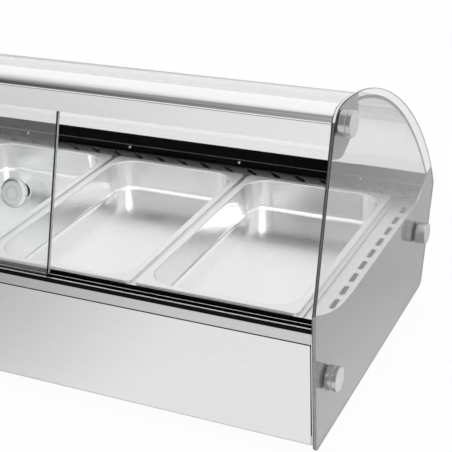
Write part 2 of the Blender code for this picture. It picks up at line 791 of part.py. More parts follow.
def build_hood():
    bent = folded_sheet("curved_glass", bent_path(), "X", -TRACK_HALF_X, TRACK_HALF_X,
                        PANE, "glass")
    bent.data.shade_smooth()

    block("hood_fascia", (-PANEL_FACE_X, FASCIA_Y, FASCIA_FOOT_Z),
          (PANEL_FACE_X, FASCIA_Y + SHEET, RAIL_FOOT_Z - TOUCH_GAP * 2), "hood_metal")

    nose_steps = SHORT_CURVE_STEPS + 3
    nose = [(RAIL_CREST_Y - RAIL_DEPTH * math.cos(math.radians(90.0 * i / nose_steps)),
             RAIL_FOOT_Z + RAIL_RISE * math.sin(math.radians(90.0 * i / nose_steps)))
            for i in range(nose_steps + 1)]
    crest_z = RAIL_FOOT_Z + RAIL_RISE
    path = nose + [(RAIL_BACK_Y, crest_z - RAIL_BACK_DROP), (RAIL_BACK_Y, RAIL_LIP_Z)]
    folded_sheet("hood_rail", path, "X", -PANEL_FACE_X, PANEL_FACE_X, SHEET, "hood_metal")

    hat = [(LAMP_FRONT_Y, LAMP_SKIRT_Z), (LAMP_FRONT_Y, LAMP_TOP_Z),
           (LAMP_BACK_Y, LAMP_TOP_Z), (LAMP_BACK_Y, LAMP_SKIRT_Z)]
    folded_sheet("lamp_housing", hat, "X", -LAMP_HALF_X, LAMP_HALF_X, SHEET, "lamp_white")
    lamp_y = (LAMP_FRONT_Y + LAMP_BACK_Y) / 2
    holder_top = LAMP_TOP_Z - SHEET - TOUCH_GAP
    lamp_z = holder_top - HOLDER_FOOT - TUBE_R
    tube = [(0.0, TUBE_HALF_X), (TUBE_R - TUBE_PIN_END / 2, TUBE_HALF_X),
            (TUBE_R, TUBE_HALF_X - TUBE_PIN_END), (TUBE_R, TUBE_PIN_END - TUBE_HALF_X),
            (TUBE_R - TUBE_PIN_END / 2, -TUBE_HALF_X), (0.0, -TUBE_HALF_X)]
    turned("lamp_tube", tube, "lamp_white",
           Matrix.Translation((0, lamp_y, lamp_z)) @ Matrix.Rotation(math.radians(90.0), 4, "Y"),
           steps=SMALL_ROUND_STEPS)
    for side, sign in (("left", -1), ("right", 1)):
        ends = sorted((sign * (TUBE_HALF_X + TOUCH_GAP), sign * (LAMP_HALF_X - HOLDER_END_GAP)))
        block("lamp_holder_" + side, (ends[0], lamp_y - HOLDER_HALF_Y, lamp_z - TUBE_R),
              (ends[1], lamp_y + HOLDER_HALF_Y, holder_top), "plastic_black")


# Tracks and sliding doors

def groove_floor():
    return LEDGE_Z + TOUCH_GAP + TRACK_WEB


def groove_starts():
    """Y of the near wall of each groove at floor height, front groove first."""
    front = FRONT_Y + OUTER_FIN
    return front, front + GROOVE + FIN


def build_tracks():
    floor = groove_floor()
    front, rear = groove_starts()
    back = rear + GROOVE + REAR_FIN
    front_top = floor + FRONT_FIN_RISE
    middle_top = floor + MIDDLE_FIN_RISE
    rear_top = floor + REAR_FIN_RISE
    outline = [(FRONT_Y, LEDGE_Z + TOUCH_GAP), (FRONT_Y, front_top),
               (leaned(front, floor, front_top), front_top), (front, floor),
               (front + GROOVE, floor), (leaned(front + GROOVE, floor, middle_top), middle_top),
               (leaned(rear, floor, middle_top), middle_top), (rear, floor),
               (rear + GROOVE, floor), (leaned(rear + GROOVE, floor, rear_top), rear_top),
               (back, rear_top), (back, LEDGE_Z + TOUCH_GAP)]
    extruded("lower_track", [outline], "X", -TRACK_HALF_X, TRACK_HALF_X, "track_black")

    foot = UPPER_TRACK_FOOT_Z
    ceiling = UPPER_TRACK_CEILING_Z
    top = ceiling + UPPER_TRACK_WEB

    def fin(y_floor, z):
        return leaned(y_floor, floor, z), z

    first = front - OUTER_FIN
    last = rear + GROOVE + OUTER_FIN
    comb = [fin(first, foot), fin(front, foot), fin(front, ceiling), fin(front + GROOVE, ceiling),
            fin(front + GROOVE, foot), fin(rear, foot), fin(rear, ceiling),
            fin(rear + GROOVE, ceiling), fin(rear + GROOVE, foot), fin(last, foot),
            fin(last, top), fin(first, top)]
    extruded("upper_track", [comb], "X", -UPPER_TRACK_HALF_X, UPPER_TRACK_HALF_X, "track_black")


def door_frame_empty(name, centre_x, groove_y):
    """An empty at the foot of a door, leaning with it."""
    axis = bpy.data.objects.new(name, None)
    PARTS.objects.link(axis)
    clear = TOUCH_GAP + DOOR_PANE / 2 * math.sin(LEAN)
    floor = groove_floor()
    axis.matrix_world = (Matrix.Translation((centre_x, leaned(groove_y, floor, floor + clear),
                                             floor + clear))
                         @ Matrix.Rotation(-LEAN, 4, "X"))
    return axis, (DOOR_TOP_Z - floor - clear) / math.cos(LEAN)


def door_knob_profile():
    """Knob from its domed disc down to the stud that runs through the pane."""
    face = DOOR_PANE / 2 + TOUCH_GAP
    rosette = face + ROSETTE
    disc = rosette + NECK
    top = disc + DISC
    stud_end = -DOOR_PANE / 2
    ring = top - DISC_BEVEL
    return [(0.0, top), (DISC_FACE_R * CROWN_SHARES[0], top - DISC_DOME * CROWN_SHARES[1]),
            (DISC_FACE_R, top - DISC_DOME), (DISC_R - DISC_EDGE / 2, ring),
            (DISC_R, ring - DISC_EDGE), (DISC_R, disc + DISC_EDGE),
            (DISC_R - DISC_EDGE, disc), (NECK_R, disc - DISC_EDGE), (NECK_R, rosette + DISC_EDGE),
            (NECK_R + DISC_EDGE, rosette), (ROSETTE_R - DISC_EDGE, rosette),
            (ROSETTE_R, rosette - DISC_EDGE), (ROSETTE_R, face), (KNOB_STUD_R, face),
            (KNOB_STUD_R, stud_end), (0.0, stud_end)]


def build_doors():
    front, rear = groove_starts()
    centre = DOOR_EDGE_X - DOOR_WIDTH / 2
    frame, height = door_frame_empty("right_door_frame", centre, front + GROOVE / 2)
    pane = block("right_door_glass", (-DOOR_WIDTH / 2, -DOOR_PANE / 2, 0.0),
                 (DOOR_WIDTH / 2, DOOR_PANE / 2, height), "glass", frame)
    knob_x = DOOR_WIDTH / 2 - KNOB_EDGE
    knob_z = height * KNOB_HEIGHT_SHARE
    at_knob = (Matrix.Translation((knob_x, 0.0, knob_z))
               @ Matrix.Rotation(math.radians(90.0), 4, "X"))
    hole = turned("knob_hole", [(0.0, DOOR_PANE), (KNOB_STUD_R + KNOB_HOLE_CLEARANCE, DOOR_PANE),
                                (KNOB_STUD_R + KNOB_HOLE_CLEARANCE, -DOOR_PANE), (0.0, -DOOR_PANE)],
                  "chrome", at_knob, frame, SMALL_ROUND_STEPS)
    boolean(pane, hole)
    knob = turned("door_knob", door_knob_profile(), "chrome", at_knob, frame)
    smooth(knob)

    left_centre = DOOR_WIDTH / 2 + DOOR_END_GAP - UPPER_TRACK_HALF_X
    left_frame, height = door_frame_empty("left_door_frame", left_centre, rear + GROOVE / 2)
    block("left_door_glass", (-DOOR_WIDTH / 2, -DOOR_PANE / 2, 0.0),
          (DOOR_WIDTH / 2, DOOR_PANE / 2, height), "glass", left_frame)
    edge = -DOOR_WIDTH / 2
    gap = TOUCH_GAP
    half = DOOR_PANE / 2 + gap
    clip = [(edge - gap - PULL / 8, -half - PULL), (edge + PULL_WIDTH, -half - PULL),
            (edge + PULL_WIDTH, -half), (edge - gap / 2, -half), (edge - gap / 2, half),
            (edge + PULL_WIDTH, half), (edge + PULL_WIDTH, half + PULL),
            (edge - gap - PULL / 8, half + PULL)]
    middle = height * KNOB_HEIGHT_SHARE
    extruded("left_door_pull", [clip], "Z", middle - PULL_LENGTH / 2, middle + PULL_LENGTH / 2,
             "aluminium", left_frame)


# Pans, deck and air outlets

def pan_centres():
    pitch = PAN_X + PAN_GAP
    return [(i - (PAN_COUNT - 1) / 2) * pitch for i in range(PAN_COUNT)]


def lofted(name, rings, centre, thickness, kind):
    """A tray drawn through rounded rectangles from its rim to its floor."""
    work = bmesh.new()
    loops = []
    for half_x, half_y, radius, height in rings:
        loops.append([work.verts.new((u, v, height))
                      for u, v in rounded_rectangle(half_x, half_y, radius)])
    for outer, inner in zip(loops, loops[1:]):
        for i in range(len(outer)):
            j = (i + 1) % len(outer)
            work.faces.new((outer[i], outer[j], inner[j], inner[i]))
    work.faces.new(loops[-1])
    bmesh.ops.remove_doubles(work, verts=work.verts, dist=WELD)
    mesh = bpy.data.meshes.new(name)
    work.to_mesh(mesh)
    work.free()
    piece = place(name, mesh, kind, Matrix.Translation(centre))
    shell = piece.modifiers.new("sheet", "SOLIDIFY")
    shell.thickness = thickness
    shell.offset = -1
    shell.use_even_offset = True
    smooth(piece, 35.0)
    return piece


def build_pans():
    half_x = PAN_X / 2
    half_y = PAN_Y / 2
    mouth_x = half_x - PAN_FLANGE
    mouth_y = half_y - PAN_FLANGE
    roll = PAN_ROLL
    corner = PAN_MOUTH_CORNER
    low_x = mouth_x - PAN_TAPER
    low_y = mouth_y - PAN_TAPER
    fillet = PAN_FLOOR_FILLET
    soft = fillet * FILLET_SHARE
    floor = PAN_WALL - PAN_DEPTH
    rings = [(half_x, half_y, PAN_CORNER, -PAN_LIP),
             (half_x, half_y, PAN_CORNER, -roll),
             (half_x - roll, half_y - roll, PAN_CORNER - roll, 0.0),
             (mouth_x + roll, mouth_y + roll, corner + roll, 0.0),
             (mouth_x, mouth_y, corner, -roll),
             (low_x, low_y, corner - PAN_TAPER, floor + fillet),
             (low_x - soft, low_y - soft, corner - PAN_TAPER - soft, floor + soft),
             (low_x - fillet, low_y - fillet, corner - PAN_TAPER - fillet, floor)]
    for number, x in enumerate(pan_centres(), start=1):
        lofted("pan_%d" % number, rings, (x, PAN_CENTRE_Y, FLANGE_Z), PAN_WALL, "pan_steel")


def deck_mouth():
    """Half sizes of the opening that the pans hang in."""
    pitch = PAN_X + PAN_GAP
    half_x = (PAN_COUNT - 1) / 2 * pitch + PAN_X / 2 - MOUTH_OVERLAP
    return half_x, PAN_Y / 2 - MOUTH_OVERLAP


def build_deck():
    low = DECK_Z - SHEET
    front = WALL_Y + TOUCH_GAP
    mouth_x, mouth_y = deck_mouth()
    near = PAN_CENTRE_Y - mouth_y
    far = PAN_CENTRE_Y + mouth_y
    frame = extruded("deck_frame", [rectangle((-DECK_HALF_X, front), (DECK_HALF_X, DECK_END_Y)),
                                    rectangle((-mouth_x, near), (mouth_x, far))],
                     "Z", low, DECK_Z, "deck_steel")
    rest_top = low - TOUCH_GAP
    joined = SHEET / 2
    for edge, inward in ((near, 1), (far, -1)):
        riser = sorted((edge, edge - inward * REST_RISER))
        rest = sorted((edge - inward * REST_RISER, edge + inward * REST))
        boolean(frame, block("riser", (-mouth_x, riser[0], rest_top - joined),
                             (mouth_x, riser[1], low + joined), "deck_steel"), "UNION")
        boolean(frame, block("rest", (-mouth_x + SHEET, rest[0], rest_top - SHEET),
                             (mouth_x - SHEET, rest[1], rest_top), "deck_steel"), "UNION")
    for sign in (-1, 1):
        lip = sorted((sign * (LIP_X - LIP / 2), sign * (LIP_X + LIP / 2)))
        boolean(frame, block("lip", (lip[0], front + SHEET, low + joined),
                             (lip[1], DECK_END_Y - SHEET, DECK_Z + LIP_RISE), "deck_steel"), "UNION")

    slot = rounded_rectangle(SIDE_SLOT_WIDTH / 2, SIDE_SLOT_LENGTH / 2, SIDE_SLOT_CORNER,
                             SLOT_CORNER_STEPS)
    first_y = SIDE_SLOT_CENTRE_Y - (SIDE_SLOT_COUNT - 1) / 2 * SIDE_SLOT_PITCH
    slots = [[(SIDE_SLOT_X + u, first_y + i * SIDE_SLOT_PITCH + v) for u, v in slot]
             for i in range(SIDE_SLOT_COUNT)]
    grate = extruded("side_grate_right",
                     [rectangle((DECK_HALF_X + PLATE_SEAM, front), (GRATE_HALF_X, DECK_END_Y))]
                     + slots, "Z", low, DECK_Z, "deck_steel")
    mirrored("side_grate_left", grate, "deck_steel")

    centres = pan_centres()
    for number, (first, second) in enumerate(zip(centres, centres[1:]), start=1):
        x = (first + second) / 2
        bar = block("crossbar_%d" % number, (x - CROSSBAR_X / 2, near + PLATE_SEAM, low),
                    (x + CROSSBAR_X / 2, far - PLATE_SEAM, DECK_Z), "deck_steel")
        web_near = near + REST + PLATE_SEAM
        web_far = far - REST - PLATE_SEAM
        boolean(bar, block("web", (x - CROSSBAR_WEB / 2, web_near, low - CROSSBAR_WEB_DEPTH),
                           (x + CROSSBAR_WEB / 2, web_far, low + joined), "deck_steel"), "UNION")


def build_rear_outlet():
    path = [(DECK_END_Y + PLATE_SEAM, DECK_Z), (OUTLET_FOOT_Y, DECK_Z),
            (OUTLET_TOP_Y, OUTLET_TOP_Z), (OUTLET_TOP_Y + OUTLET_FLANGE, OUTLET_TOP_Z)]
    strip = folded_sheet("rear_outlet", path, "X", -TRACK_HALF_X, TRACK_HALF_X, SHEET, "deck_steel")
    rise = OUTLET_TOP_Z - DECK_Z
    run = OUTLET_TOP_Y - OUTLET_FOOT_Y
    pitch_angle = math.atan2(rise, run)
    face_turn = Matrix.Rotation(pitch_angle, 4, "X")
    middle = (OUTLET_FOOT_Y + run / 2, DECK_Z + rise / 2)
    cutters = []
    for i in range(OUTLET_SLOT_COUNT):
        x = (i - (OUTLET_SLOT_COUNT - 1) / 2) * OUTLET_SLOT_PITCH
        loop = slot_loop((0.0, 0.0), OUTLET_SLOT_LENGTH, OUTLET_SLOT_WIDTH)
        cutter = extruded("outlet_slot", [loop], "Z", -SHEET - OVERRUN, OVERRUN, "deck_steel")
        lying = Matrix.Rotation(math.radians(90.0) - OUTLET_SLOT_TILT, 4, "Z")
        cutter.matrix_world = (Matrix.Translation((x, *middle)) @ face_turn @ lying
                               @ cutter.matrix_world)
        cutters.append(cutter)
    boolean(strip, grouped("outlet_slots", cutters, "deck_steel"))


def build_rear_channel():
    """Black channel: a wall above the outlet and a slot that holds the bent glass."""
    along = Vector(BENT_END_DIRECTION).normalized()
    inward = Vector((along.y, -along.x))
    outer_end = Vector((BENT_END_Y, BENT_END_Z)) + along * TOUCH_GAP
    outer_foot = outer_end - inward * TOUCH_GAP
    inner_foot = outer_end + inward * (PANE + TOUCH_GAP)
    inner_run = (CHANNEL_LIP_Z - inner_foot.y) / -along.y
    inner_lip = inner_foot - along * inner_run
    outer_lip = outer_foot - along * CHANNEL_SLOT_DEPTH
    outer_cap = outer_lip - inward * CHANNEL_OUTER_LIP
    wall_back = CHANNEL_FACE_Y + CHANNEL_STEP + CHANNEL_WALL - CHANNEL_STEP
    outline = [(CHANNEL_FACE_Y + CHANNEL_STEP, CHANNEL_FOOT_Z),
               (CHANNEL_FACE_Y + CHANNEL_STEP, CHANNEL_STEP_Z), (CHANNEL_FACE_Y, CHANNEL_STEP_Z),
               (CHANNEL_FACE_Y, CHANNEL_LIP_Z), tuple(inner_lip), tuple(inner_foot),
               tuple(outer_foot), tuple(outer_lip), tuple(outer_cap),
               (CHANNEL_BACK_Y, CHANNEL_SEAT_Z + CHANNEL_WALL), (CHANNEL_BACK_Y, CHANNEL_SEAT_Z),
               (wall_back, CHANNEL_SEAT_Z), (wall_back, CHANNEL_FOOT_Z)]
    extruded("rear_channel", [outline], "X", -TRACK_HALF_X, TRACK_HALF_X, "track_black")


# Base, panels and feet

def build_base():
    floor = TRAY_Z + SHEET + TOUCH_GAP
    tray_path = [(-TRAY_HALF_X, TRAY_Z + TRAY_UPSTAND), (-TRAY_HALF_X, TRAY_Z),
                 (TRAY_HALF_X, TRAY_Z), (TRAY_HALF_X, TRAY_Z + TRAY_UPSTAND)]
    inside = FRONT_Y + SHEET + TOUCH_GAP
    tray = folded_sheet("base_tray", tray_path, "Y", FRONT_Y, REAR_FOOT_Y, SHEET,
                        "panel_steel", side=-1)
    gland_hole = cylinder("gland_hole", GLAND_THREAD_R + GLAND_CLEARANCE, TRAY_Z - OVERRUN,
                          TRAY_Z + SHEET + OVERRUN, (GLAND_X, GLAND_Y), "Z", "panel_steel")
    boolean(tray, gland_hole)

    panel_half = TRAY_HALF_X - SHEET - TOUCH_GAP
    panel_path = [(FRONT_Y + PANEL_RETURN, floor), (FRONT_Y, floor),
                  (FRONT_Y, STRIP_Z - SEAM), (FRONT_Y + PANEL_TOP_RETURN, STRIP_Z - SEAM)]
    panel = folded_sheet("front_panel", panel_path, "X", -panel_half, panel_half, SHEET,
                         "panel_steel")
    near = FRONT_Y - OVERRUN
    far = inside + OVERRUN
    cuts = [cylinder("dial_cut", SPINDLE_R + SPINDLE_HOLE_CLEARANCE, near, far,
                     (DIAL_X, DIAL_Z), "Y", "panel_steel"),
            cylinder("pilot_cut", PILOT_BODY_R + PILOT_HOLE_CLEARANCE, near, far,
                     (PILOT_X, DIAL_Z), "Y", "panel_steel")]
    margin = SWITCH_X / 2 - SWITCH_BODY_INSET + PLATE_SEAM
    half_z = SWITCH_Z / 2 - SWITCH_BODY_INSET + PLATE_SEAM
    cuts.append(block("switch_cut", (POWER_X - margin, near, DIAL_Z - half_z),
                      (LIGHT_X + margin, far, DIAL_Z + half_z), "panel_steel"))
    boolean(panel, grouped("panel_cuts", cuts, "panel_steel"))

    strip_path = [(FRONT_Y + PANEL_TOP_RETURN, STRIP_Z), (FRONT_Y, STRIP_Z), (FRONT_Y, LEDGE_Z),
                  (WALL_Y, LEDGE_Z), (WALL_Y, DECK_Z - SHEET - TOUCH_GAP),
                  (WALL_Y + SEAT_FLANGE, DECK_Z - SHEET - TOUCH_GAP)]
    folded_sheet("front_strip", strip_path, "X", -TRACK_HALF_X, TRACK_HALF_X, SHEET,
                 "panel_steel")

    rear_path = [(REAR_FOOT_Y - PANEL_RETURN, floor), (REAR_FOOT_Y, floor),
                 (REAR_BREAK_Y, REAR_BREAK_Z), (REAR_TOP_Y, CHANNEL_SEAT_Z - TOUCH_GAP),
                 (REAR_TOP_END_Y, CHANNEL_SEAT_Z - TOUCH_GAP)]
    folded_sheet("rear_panel", rear_path, "X", -panel_half, panel_half, SHEET,
                 "panel_steel", side=-1)

    feet = (("front_left", -FOOT_X, FOOT_FRONT_Y), ("front_right", FOOT_X, FOOT_FRONT_Y),
            ("rear_left", -FOOT_X, FOOT_BACK_Y), ("rear_right", FOOT_X, FOOT_BACK_Y))
    top = TRAY_Z - TOUCH_GAP
    profile = [(0.0, top), (FOOT_TOP_R, top), (FOOT_R, FOOT_EDGE * 3), (FOOT_R, FOOT_EDGE),
               (FOOT_R - FOOT_EDGE, 0.0), (0.0, 0.0)]
    for name, x, y in feet:
        foot = turned("foot_" + name, profile, "rubber", Matrix.Translation((x, y, 0.0)),
                      steps=SMALL_ROUND_STEPS)
        smooth(foot)


# Heated well

def heater_line(x):
    bend = arc((x, HEATER_BEND_Y), HEATER_LEG_X, 180.0, 0.0, HEATER_BEND_STEPS)
    flat = [(x - HEATER_LEG_X, HEATER_PIN_Y)] + bend + [(x + HEATER_LEG_X, HEATER_PIN_Y)]
    return [(u, v, HEATER_Z) for u, v in flat]


def heater_rack(name, y):
    """A notched rail on the floor of the well, under the legs of every heater."""
    foot = WELL_FLOOR_Z + TOUCH_GAP
    notch = HEATER_R + RACK_NOTCH_CLEARANCE
    legs = [x + side for x in pan_centres() for side in (-HEATER_LEG_X, HEATER_LEG_X)]
    half = max(legs) + RACK_MARGIN
    outline = [(-half, foot), (half, foot), (half, HEATER_Z)]
    for leg in sorted(legs, reverse=True):
        outline += arc((leg, HEATER_Z), notch, 0.0, -180.0, RACK_NOTCH_STEPS)
    outline.append((-half, HEATER_Z))
    extruded(name, [outline], "Y", y - RACK / 2, y + RACK / 2, "aluminium")


def build_well():
    middle_y = (WELL_FRONT_Y + WELL_BACK_Y) / 2
    half_y = (WELL_BACK_Y - WELL_FRONT_Y) / 2
    rim_z = DECK_Z - SHEET - TOUCH_GAP
    fillet = WELL_FLOOR_FILLET
    rings = [(WELL_HALF_X + WELL_RIM, half_y + WELL_RIM, WELL_CORNER + WELL_RIM, 0.0),
             (WELL_HALF_X, half_y, WELL_CORNER, 0.0),
             (WELL_HALF_X, half_y, WELL_CORNER, WELL_FLOOR_Z + fillet - rim_z),
             (WELL_HALF_X - fillet, half_y - fillet, WELL_CORNER - fillet, WELL_FLOOR_Z - rim_z)]
    well = lofted("well_tub", rings, (0.0, middle_y, rim_z), WELL_WALL, "deck_steel")

    holes = []
    for number, x in enumerate(pan_centres(), start=1):
        line = heater_line(x)
        bar_along("heater_%d" % number, line, [HEATER_R] * len(line), "heater_steel")
        for leg in (x - HEATER_LEG_X, x + HEATER_LEG_X):
            holes.append(cylinder("pin_hole", HEATER_R + HEATER_HOLE_CLEARANCE,
                                  WELL_FRONT_Y - WELL_WALL - OVERRUN, WELL_FRONT_Y + OVERRUN,
                                  (leg, HEATER_Z), "Y", "deck_steel"))
    holes.append(cylinder("sensor_hole", SENSOR_HOLE_R, WELL_FRONT_Y - WELL_WALL - OVERRUN,
                          WELL_FRONT_Y + OVERRUN, (SENSOR_HOLE_X, SENSOR_Z), "Y", "deck_steel"))
    boolean(well, grouped("well_holes", holes, "deck_steel"))

    heater_rack("heater_rack_front", RACK_FRONT_Y)
    heater_rack("heater_rack_rear", RACK_REAR_Y)

    block("insulation", (-INSULATION_HALF_X, INSULATION_FRONT_Y, TRAY_Z + SHEET + TOUCH_GAP),
          (INSULATION_HALF_X, INSULATION_BACK_Y, WELL_FLOOR_Z - WELL_WALL - TOUCH_GAP), "wool",
          edge=INSULATION_EDGE)


# Controls

def build_dial():
    """Knob of the thermostat with its spindle; its Z axis points at the operator."""
    matrix = (Matrix.Translation((DIAL_X, FRONT_Y, DIAL_Z))
              @ Matrix.Rotation(math.radians(90.0), 4, "X"))
    spindle_end = -SHEET - TOUCH_GAP
    profile = [(0.0, DIAL_SKIRT + DIAL_SKIRT / 2), (DIAL_GRIP_R, DIAL_SKIRT + DIAL_SKIRT / 2),
               (DIAL_R - DIAL_GAP, DIAL_SKIRT), (DIAL_R, DIAL_SKIRT - DIAL_GAP), (DIAL_R, DIAL_GAP),
               (SPINDLE_R, DIAL_GAP), (SPINDLE_R, spindle_end), (0.0, spindle_end)]
    dial = turned("thermostat_knob", profile, "plastic_black", matrix)
    half = DIAL_GRIP_WIDTH / 2
    ends = [(half * math.cos(math.radians(a)), half * math.sin(math.radians(a)))
            for a in range(0, 181, 30)]
    reach = DIAL_GRIP_R - half
    grip = [(u, v + reach) for u, v in ends] + [(-u, -v - reach) for u, v in ends]
    bar = extruded("dial_bar", [grip], "Z", DIAL_SKIRT, DIAL_HEIGHT, "plastic_black")
    bar.matrix_world = matrix @ bar.matrix_world
    boolean(dial, bar, "UNION")
    smooth(dial)

    inner = FRONT_Y + SHEET + TOUCH_GAP
    half_body = THERMOSTAT / 2
    block("thermostat_body", (DIAL_X - half_body, inner, DIAL_Z - half_body),
          (DIAL_X + half_body, inner + THERMOSTAT_DEPTH, DIAL_Z + half_body), "plastic_black",
          edge=DIAL_SKIRT / 2)
    body_back = inner + THERMOSTAT_DEPTH + TOUCH_GAP + SENSOR_WIRE_R
    wall = WELL_FRONT_Y
    bulb_y = wall + SENSOR_BULB_R + TOUCH_GAP
    out = (DIAL_X, body_back, DIAL_Z)
    drop = (DIAL_X + half_body, body_back, DIAL_Z + half_body / 2)
    bend = (SENSOR_HOLE_X, (body_back + wall) / 2, SENSOR_Z)
    thin = [out, drop, bend, (SENSOR_HOLE_X, wall - OVERRUN, SENSOR_Z),
            (SENSOR_HOLE_X, wall + OVERRUN / 4, SENSOR_Z),
            (SENSOR_HOLE_X + SENSOR_BULB_R, bulb_y, SENSOR_Z),
            (SENSOR_BULB_START_X, bulb_y, SENSOR_Z)]
    thick = [(SENSOR_BULB_START_X + OVERRUN, bulb_y, SENSOR_Z),
             (SENSOR_BULB_END_X, bulb_y, SENSOR_Z)]
    bar_along("thermostat_sensor", thin + thick,
              [SENSOR_WIRE_R] * len(thin) + [SENSOR_BULB_R] * len(thick), "chrome")


def build_switches():
    """Two rockers side by side in one housing; each turns about a line along X."""
    rockers = (("power_rocker", POWER_X, "green"), ("light_rocker", LIGHT_X, "plastic_black"))
    low_x = POWER_X - SWITCH_X / 2
    high_x = LIGHT_X + SWITCH_X / 2
    half_z = SWITCH_Z / 2
    face = FRONT_Y - TOUCH_GAP
    housing = block("switch_housing", (low_x, face - SWITCH_BEZEL, DIAL_Z - half_z),
                    (high_x, face, DIAL_Z + half_z), "plastic_black")
    inner_z = half_z - SWITCH_BODY_INSET
    boolean(housing, block("body", (low_x + SWITCH_BODY_INSET, face - SWITCH_BEZEL / 2,
                                    DIAL_Z - inner_z),
                           (high_x - SWITCH_BODY_INSET, FRONT_Y + SWITCH_DEPTH, DIAL_Z + inner_z),
                           "plastic_black"), "UNION")
    pocket_x = SWITCH_X / 2 - SWITCH_FRAME - SWITCH_BODY_INSET / 2
    pocket_z = half_z - SWITCH_FRAME - SWITCH_BODY_INSET / 2
    reach = pocket_z - ROCKER_GAP
    width = pocket_x - ROCKER_GAP
    outline = [(-ROCKER_CREST, 0.0), (-ROCKER_END, reach), (-ROCKER_BACK_END, reach),
               (ROCKER_BACK, reach / 3), (ROCKER_BACK, -reach / 3), (-ROCKER_BACK_END, -reach),
               (-ROCKER_END, -reach)]
    for name, x, kind in rockers:
        boolean(housing, block("pocket", (x - pocket_x, face - SWITCH_BEZEL - OVERRUN,
                                          DIAL_Z - pocket_z),
                               (x + pocket_x, FRONT_Y + SWITCH_POCKET, DIAL_Z + pocket_z),
                               "plastic_black"))
        rocker = extruded(name, [outline], "X", -width, width, kind)
        rocker.data.transform(rocker.matrix_world)
        rocker.matrix_world = (Matrix.Translation((x, FRONT_Y - ROCKER_PIVOT, DIAL_Z))
                               @ Matrix.Rotation(-ROCKER_REST, 4, "X"))


def build_pilot():
    matrix = (Matrix.Translation((PILOT_X, FRONT_Y, DIAL_Z))
              @ Matrix.Rotation(math.radians(90.0), 4, "X"))
    dome = [(PILOT_R * math.sin(math.radians(a)), PILOT_PROUD * math.cos(math.radians(a)))
            for a in range(0, 91, 18)]
    profile = dome + [(PILOT_R, TOUCH_GAP), (PILOT_BODY_R, TOUCH_GAP),
                      (PILOT_BODY_R, -PILOT_BODY), (0.0, -PILOT_BODY)]
    pilot = turned("pilot_lamp", profile, "amber", matrix, steps=SMALL_ROUND_STEPS)
    smooth(pilot)


def build_terminals():
    foot = TRAY_Z + SHEET + TOUCH_GAP
    outline = [(TERMINAL_X, foot)]
    x = TERMINAL_X
    for _ in range(TERMINAL_POLES):
        outline += [(x, foot + TERMINAL_HEIGHT), (x + TERMINAL_WALL, foot + TERMINAL_HEIGHT),
                    (x + TERMINAL_WALL, foot + TERMINAL_FLOOR),
                    (x + TERMINAL_PITCH, foot + TERMINAL_FLOOR)]
        x += TERMINAL_PITCH
    outline += [(x, foot + TERMINAL_HEIGHT), (x + TERMINAL_WALL, foot + TERMINAL_HEIGHT),
                (x + TERMINAL_WALL, foot)]
    extruded("terminal_block", [outline], "Y", TERMINAL_FRONT_Y, TERMINAL_BACK_Y, "lamp_white")


def build_gland():
    """Cable gland through the base tray, open for a mains lead."""
    under = TRAY_Z - TOUCH_GAP
    profile = [(GLAND_BORE_R, TRAY_Z + GLAND_THREAD_TOP), (GLAND_THREAD_R, TRAY_Z + GLAND_THREAD_TOP),
               (GLAND_THREAD_R, under), (GLAND_R, under), (GLAND_R, under - GLAND_NECK),
               (GLAND_R - GLAND_CLEARANCE * 3, under - GLAND_NECK),
               (GLAND_R - GLAND_CLEARANCE * 5, under - GLAND_DROP * GLAND_BODY_SHARE),
               (GLAND_THREAD_R, under - GLAND_DROP), (GLAND_BORE_R, under - GLAND_DROP)]
    gland = turned("cord_gland", profile, "plastic_black",
                   Matrix.Translation((GLAND_X, GLAND_Y, 0.0)), steps=SMALL_ROUND_STEPS, ring=True)
    smooth(gland)


build_side_glass()
build_hood()
build_tracks()
build_doors()
build_pans()
build_deck()
build_rear_outlet()
build_rear_channel()
build_base()
build_well()
build_dial()
build_switches()
build_pilot()
build_terminals()
build_gland()
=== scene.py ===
"""Heated display case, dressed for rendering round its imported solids.

Run as a script. Lengths are metres, +Z is up, -Y is the operator's side.
"""

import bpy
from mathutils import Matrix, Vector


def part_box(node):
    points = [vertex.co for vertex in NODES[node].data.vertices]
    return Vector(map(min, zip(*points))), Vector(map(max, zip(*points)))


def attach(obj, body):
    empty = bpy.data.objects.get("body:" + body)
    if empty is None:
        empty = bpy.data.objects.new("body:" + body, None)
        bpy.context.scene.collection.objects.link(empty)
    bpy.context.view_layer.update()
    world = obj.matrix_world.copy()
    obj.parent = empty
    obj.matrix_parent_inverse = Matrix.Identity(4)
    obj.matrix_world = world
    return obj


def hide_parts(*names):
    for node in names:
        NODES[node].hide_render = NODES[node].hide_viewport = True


bl_info = {
    "name": "Heated display case",
    "version": (1, 0, 0),
    "blender": (4, 5, 0),
    "location": "View3D > Sidebar > Display case",
    "description": "Glass, steel, pans and controls of a heated display case, with its stage",
    "category": "Add Mesh",
}

from math import atan2, cos, degrees, hypot, radians, sin, tan

import bmesh
import bpy
from mathutils import Matrix, Vector
from mathutils.geometry import interpolate_bezier

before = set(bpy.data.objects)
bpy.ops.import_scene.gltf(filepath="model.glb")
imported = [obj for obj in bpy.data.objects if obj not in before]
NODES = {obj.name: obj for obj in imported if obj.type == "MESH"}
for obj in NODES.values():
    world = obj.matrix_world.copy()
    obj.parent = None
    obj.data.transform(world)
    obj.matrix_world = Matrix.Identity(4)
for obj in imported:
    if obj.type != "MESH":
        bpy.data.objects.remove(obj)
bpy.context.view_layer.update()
GLASS_LOW, GLASS_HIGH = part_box("side_glass_right")

WELD = 0.00001
SEAT_GAP = 0.0003
FINE_EDGE = 0.0003
SOFT_EDGE = 0.0005
NICKEL = (0.75, 0.75, 0.76)
CURVE_STEPS = 72
ROUND_STEPS = 72

